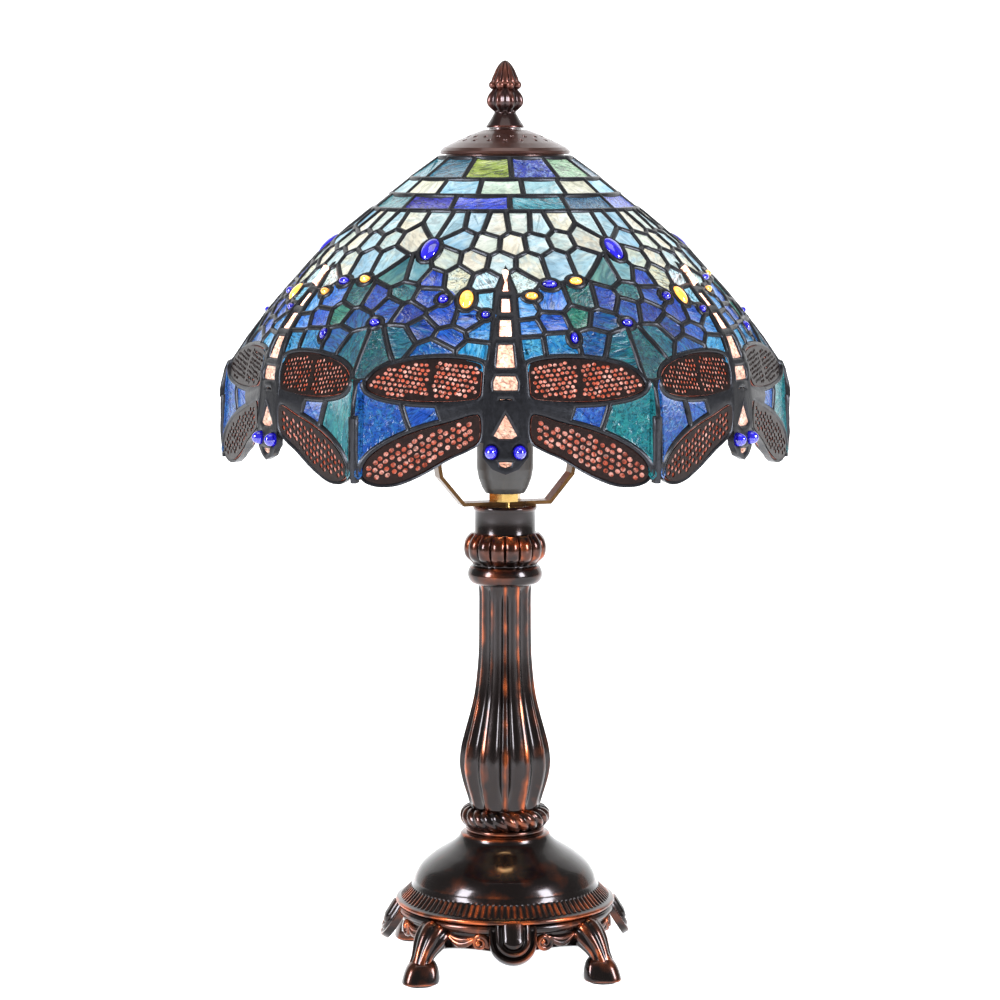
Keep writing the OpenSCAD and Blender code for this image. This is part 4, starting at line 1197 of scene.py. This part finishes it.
ornament = bmesh.new()
outlines_of_drop = []
for s, h in [(12.6, -1.5), (12.6, 1.8), (12.2, 2.6), (11.3, 2.7), (10.4, 1.8), (9.8, 1.7), (9.2, 3.4), (8.4, 4.1),
             (7.4, 3.9), (6.6, 2.8), (6.0, 2.8), (5.4, 4.6), (4.6, 5.4), (3.4, 5.8), (1.6, 6.4), (0.4, 6.5)]:
    flat = [(0.0, -s), (2.6, -s * 1.02), (5.2, -s)]
    flat += [(7.8 + s * math.sin(t), -s * math.cos(t)) for t in (math.pi * k / 20 for k in range(21))]
    flat += [(5.2, s), (2.6, s * 1.02), (0.0, s)]
    outlines_of_drop.append([drop_point(x, y, h) for x, y in flat])
skin(ornament, outlines_of_drop)
scroll_size, scroll_height = 4.2, 23.4
for side in (-1, 1):
    path, radii = [], []
    for k in range(34):
        t = k / 33
        turn = side * (0.6 - t * 3.3 * math.pi)
        away = scroll_size * (1 - 0.72 * t)
        a = math.radians(side * 17.5) + away * math.cos(turn) / 57
        path.append(Vector((56.6 * math.cos(a), 56.6 * math.sin(a), scroll_height + away * math.sin(turn))))
        radii.append(1.7 - 0.7 * t)
    sweep_tube(ornament, path, radii)
    eye = bmesh.ops.create_uvsphere(ornament, u_segments=12, v_segments=8, radius=1.9)["verts"]
    bmesh.ops.translate(ornament, verts=eye, vec=path[-1])
    for high, sag, thick in ((27.2, 5.6, 1.5), (26.6, 2.6, 1.0)):
        swag = [Vector((56.6 * math.cos(a), 56.6 * math.sin(a), high - sag * math.sin(k / 15 * math.pi)))
                for k, a in enumerate(math.radians(side * (18 + 20 * k / 15)) for k in range(16))]
        sweep_tube(ornament, swag, [0.5 + thick * math.sin(k / 15 * math.pi) for k in range(16)])
bmesh.ops.rotate(ornament, verts=ornament.verts, matrix=Matrix.Rotation(BASE_TURN, 3, "Z"))
repeat_around(ornament, 4)
merge(apron, ornament)
bmesh.ops.recalc_face_normals(apron, faces=apron.faces)
mark_wear(apron, 2)
put("apron", apron, [bronze_paint], "stand", ["apron_ring"], 45)

# %% [markdown]
# ### Feet
#
# Each foot grows out of the apron between two drops as a ribbed leaf, narrows to an ankle, and ends in a
# hoof with a flat sole, which narrows to its toe and leans back as it rises.

# %% Paw feet
foot = bmesh.new()
leg_rows = [(52.0, 27.0, 8.6, 8.0), (55.6, 25.6, 9.8, 9.0), (59.2, 23.2, 9.6, 8.4), (62.6, 20.0, 8.6, 7.2),
            (65.2, 16.8, 7.2, 6.0), (67.0, 13.6, 6.4, 5.4), (68.2, 10.4, 6.6, 5.8), (68.8, 7.0, 7.0, 6.4)]
rings = []
for i, (r, z, wide, thick) in enumerate(smooth_rows(leg_rows, 5)):
    lean = math.radians(52 - 40 * i / 35)
    ring = []
    for k in range(60):
        t = math.tau * k / 60
        rib = 1 - 0.13 * (1 - abs(math.cos(4 * t))) * min(1, (35 - i) / 12)
        y, out = wide * math.cos(t) * rib, thick * math.sin(t) * rib
        ring.append((r + out * math.cos(lean), y, z + out * math.sin(lean)))
    rings.append(ring)
skin(foot, rings)
hoof = smooth_rows([(9.8, 1.2), (10.9, 1.5), (11.1, 2.6), (10.8, 5), (10, 8), (8.6, 10.8), (6.2, 13), (3, 14.4),
                    (0.3, 14.8)], 4)
hoof_rings = []
for r, z in hoof:
    ring = []
    for k in range(60):
        t = math.tau * k / 60
        toe = max(0, math.cos(t))
        ring.append((69.2 - 0.2 * (z - 1.2) + r * math.cos(t) * (0.88 + 0.1 * toe),
                     r * math.sin(t) * (0.98 - 0.3 * toe), z))
    hoof_rings.append(ring)
skin(foot, hoof_rings)
bmesh.ops.rotate(foot, verts=foot.verts, matrix=Matrix.Rotation(BASE_TURN + math.radians(45), 3, "Z"))
bmesh.ops.recalc_face_normals(foot, faces=foot.faces)
repeat_around(foot, 4)
mark_wear(foot, 4)
put("feet", foot, [bronze_paint], "stand", ["paw_feet"], 50)

# %% [markdown]
# ### Finial
#
# The finial that holds the shade down is a small acorn: a plain bell foot, a bulb wrapped in pointed leaves,
# a ring of round knobs, and a reeded cone.

# %% Acorn finial
acorn = bmesh.new()
bell = smooth_rows([(10, 0, 0), (10, 1.0, 0), (9.2, 2.2, 0), (7.6, 4.6, 0), (6.4, 6.8, 0), (5.8, 8.2, 0),
                    (7.2, 9.4, 1.6), (9.6, 11.6, 2.0), (10.4, 14, 2.0), (9.6, 17, 1.8), (7.4, 19.8, 1.0),
                    (6.0, 21, 0)], 5)
# The foot stands 0.1 mm clear of the washer, so that their flat faces don't share a plane
turned(acorn, bell, 128, lambda row, a: row[0] - max(0, row[2]) * abs(math.cos(math.pi * lobe(a, 8))) ** 2.2,
       FINIAL_Z + 0.1, 3.2)
cone = smooth_rows([(5.6, 21, 0), (7.6, 23.4, 0.6), (7.2, 26.2, 1.1), (6.2, 28.4, 1.1), (5.0, 31, 0.9),
                    (3.2, 33.6, 0.5), (1.4, 35.2, 0), (0.2, 35.6, 0)], 5)
cone_skin = bmesh.new()
turned(cone_skin, cone, 120,
       lambda row, a: row[0] - max(0, row[2]) * (1 - math.sin(math.pi * lobe(a, 10)) ** 0.6), FINIAL_Z)
merge(acorn, cone_skin)
for i in range(8):
    knob = bmesh.ops.create_uvsphere(acorn, u_segments=16, v_segments=12, radius=2.3)["verts"]
    a = math.tau * (i + 0.5) / 8
    bmesh.ops.translate(acorn, verts=knob, vec=(6.9 * math.cos(a), 6.9 * math.sin(a), FINIAL_Z + 22.6))
mark_wear(acorn, 3)
put("acorn_finial", acorn, [finial_paint], "finial", ["finial"], 50)

# %% [markdown]
# ## The parts that keep their CAD shape
#
# Turned, stamped and bought parts are already the right shape, and only need their real surfaces.

# %% Finishes for the CAD parts
for mat, node_names in (
        (harp_bronze, ("harp", "harp_stud")),
        (lamp_brass, ("saddle_nut", "threaded_rod", "spider")),
        (zinc_plate, ("bottom_plate", "clamp_nut")),
        (phenolic, ("socket_cap", "socket_shell", "cord_bushing")),
        (nickel, ("bulb_base", "bulb_tip", "terminal_screws", "socket_screw_shell", "socket_contact")),
        (porcelain, ("socket_insulator",)),
        (fibre, ("seat_washer",)),
        (felt, ("foot_pads",)),
        (cap_paint, ("vented_cap", "aperture_ring", "finial_washer"))):
    for node_name in node_names:
        refinish(node_name, mat)

# %% [markdown]
# ## The bulb
#
# The bulb is frosted inside, and its filaments sit in a soft cloud of light. The glass itself gives the
# light that fills the shade.

# %% Glowing bulb
globe_glass, globe_shader = finish_material("frosted_lit_glass", Roughness=0.35, IOR=1.5,
                                            Emission_Strength=30.0)
globe_place = add(globe_glass, "ShaderNodeTexCoord").outputs["Object"]
globe_cloud = add(globe_glass, "ShaderNodeTexNoise", {"Vector": globe_place, "Scale": 1 / (12 * MM),
                                                      "Detail": 1.0})
globe_tone = add(globe_glass, "ShaderNodeMix", {"Factor": globe_cloud.outputs["Fac"], "A": srgb("#ffc47c"),
                                                "B": srgb("#ffd8a4")}, data_type="RGBA")
feed(globe_glass, globe_shader, Base_Color=globe_tone.outputs["Result"],
     Emission_Color=globe_tone.outputs["Result"])
refinish("bulb_globe", globe_glass)
stem_glass = speckled("clear_stem_glass", "#e8eef0", "#f4f8f8", 9, 0.08, Transmission_Weight=1.0, IOR=1.5)
refinish("bulb_stem", stem_glass)
hot_wire = speckled("lit_filament", "#ffb060", "#ffc880", 2, 0.4, Emission_Strength=12.0)
hot_wire.node_tree.nodes["Principled BSDF"].inputs["Emission Color"].default_value = srgb("#ffc070")
refinish("bulb_filaments", hot_wire)
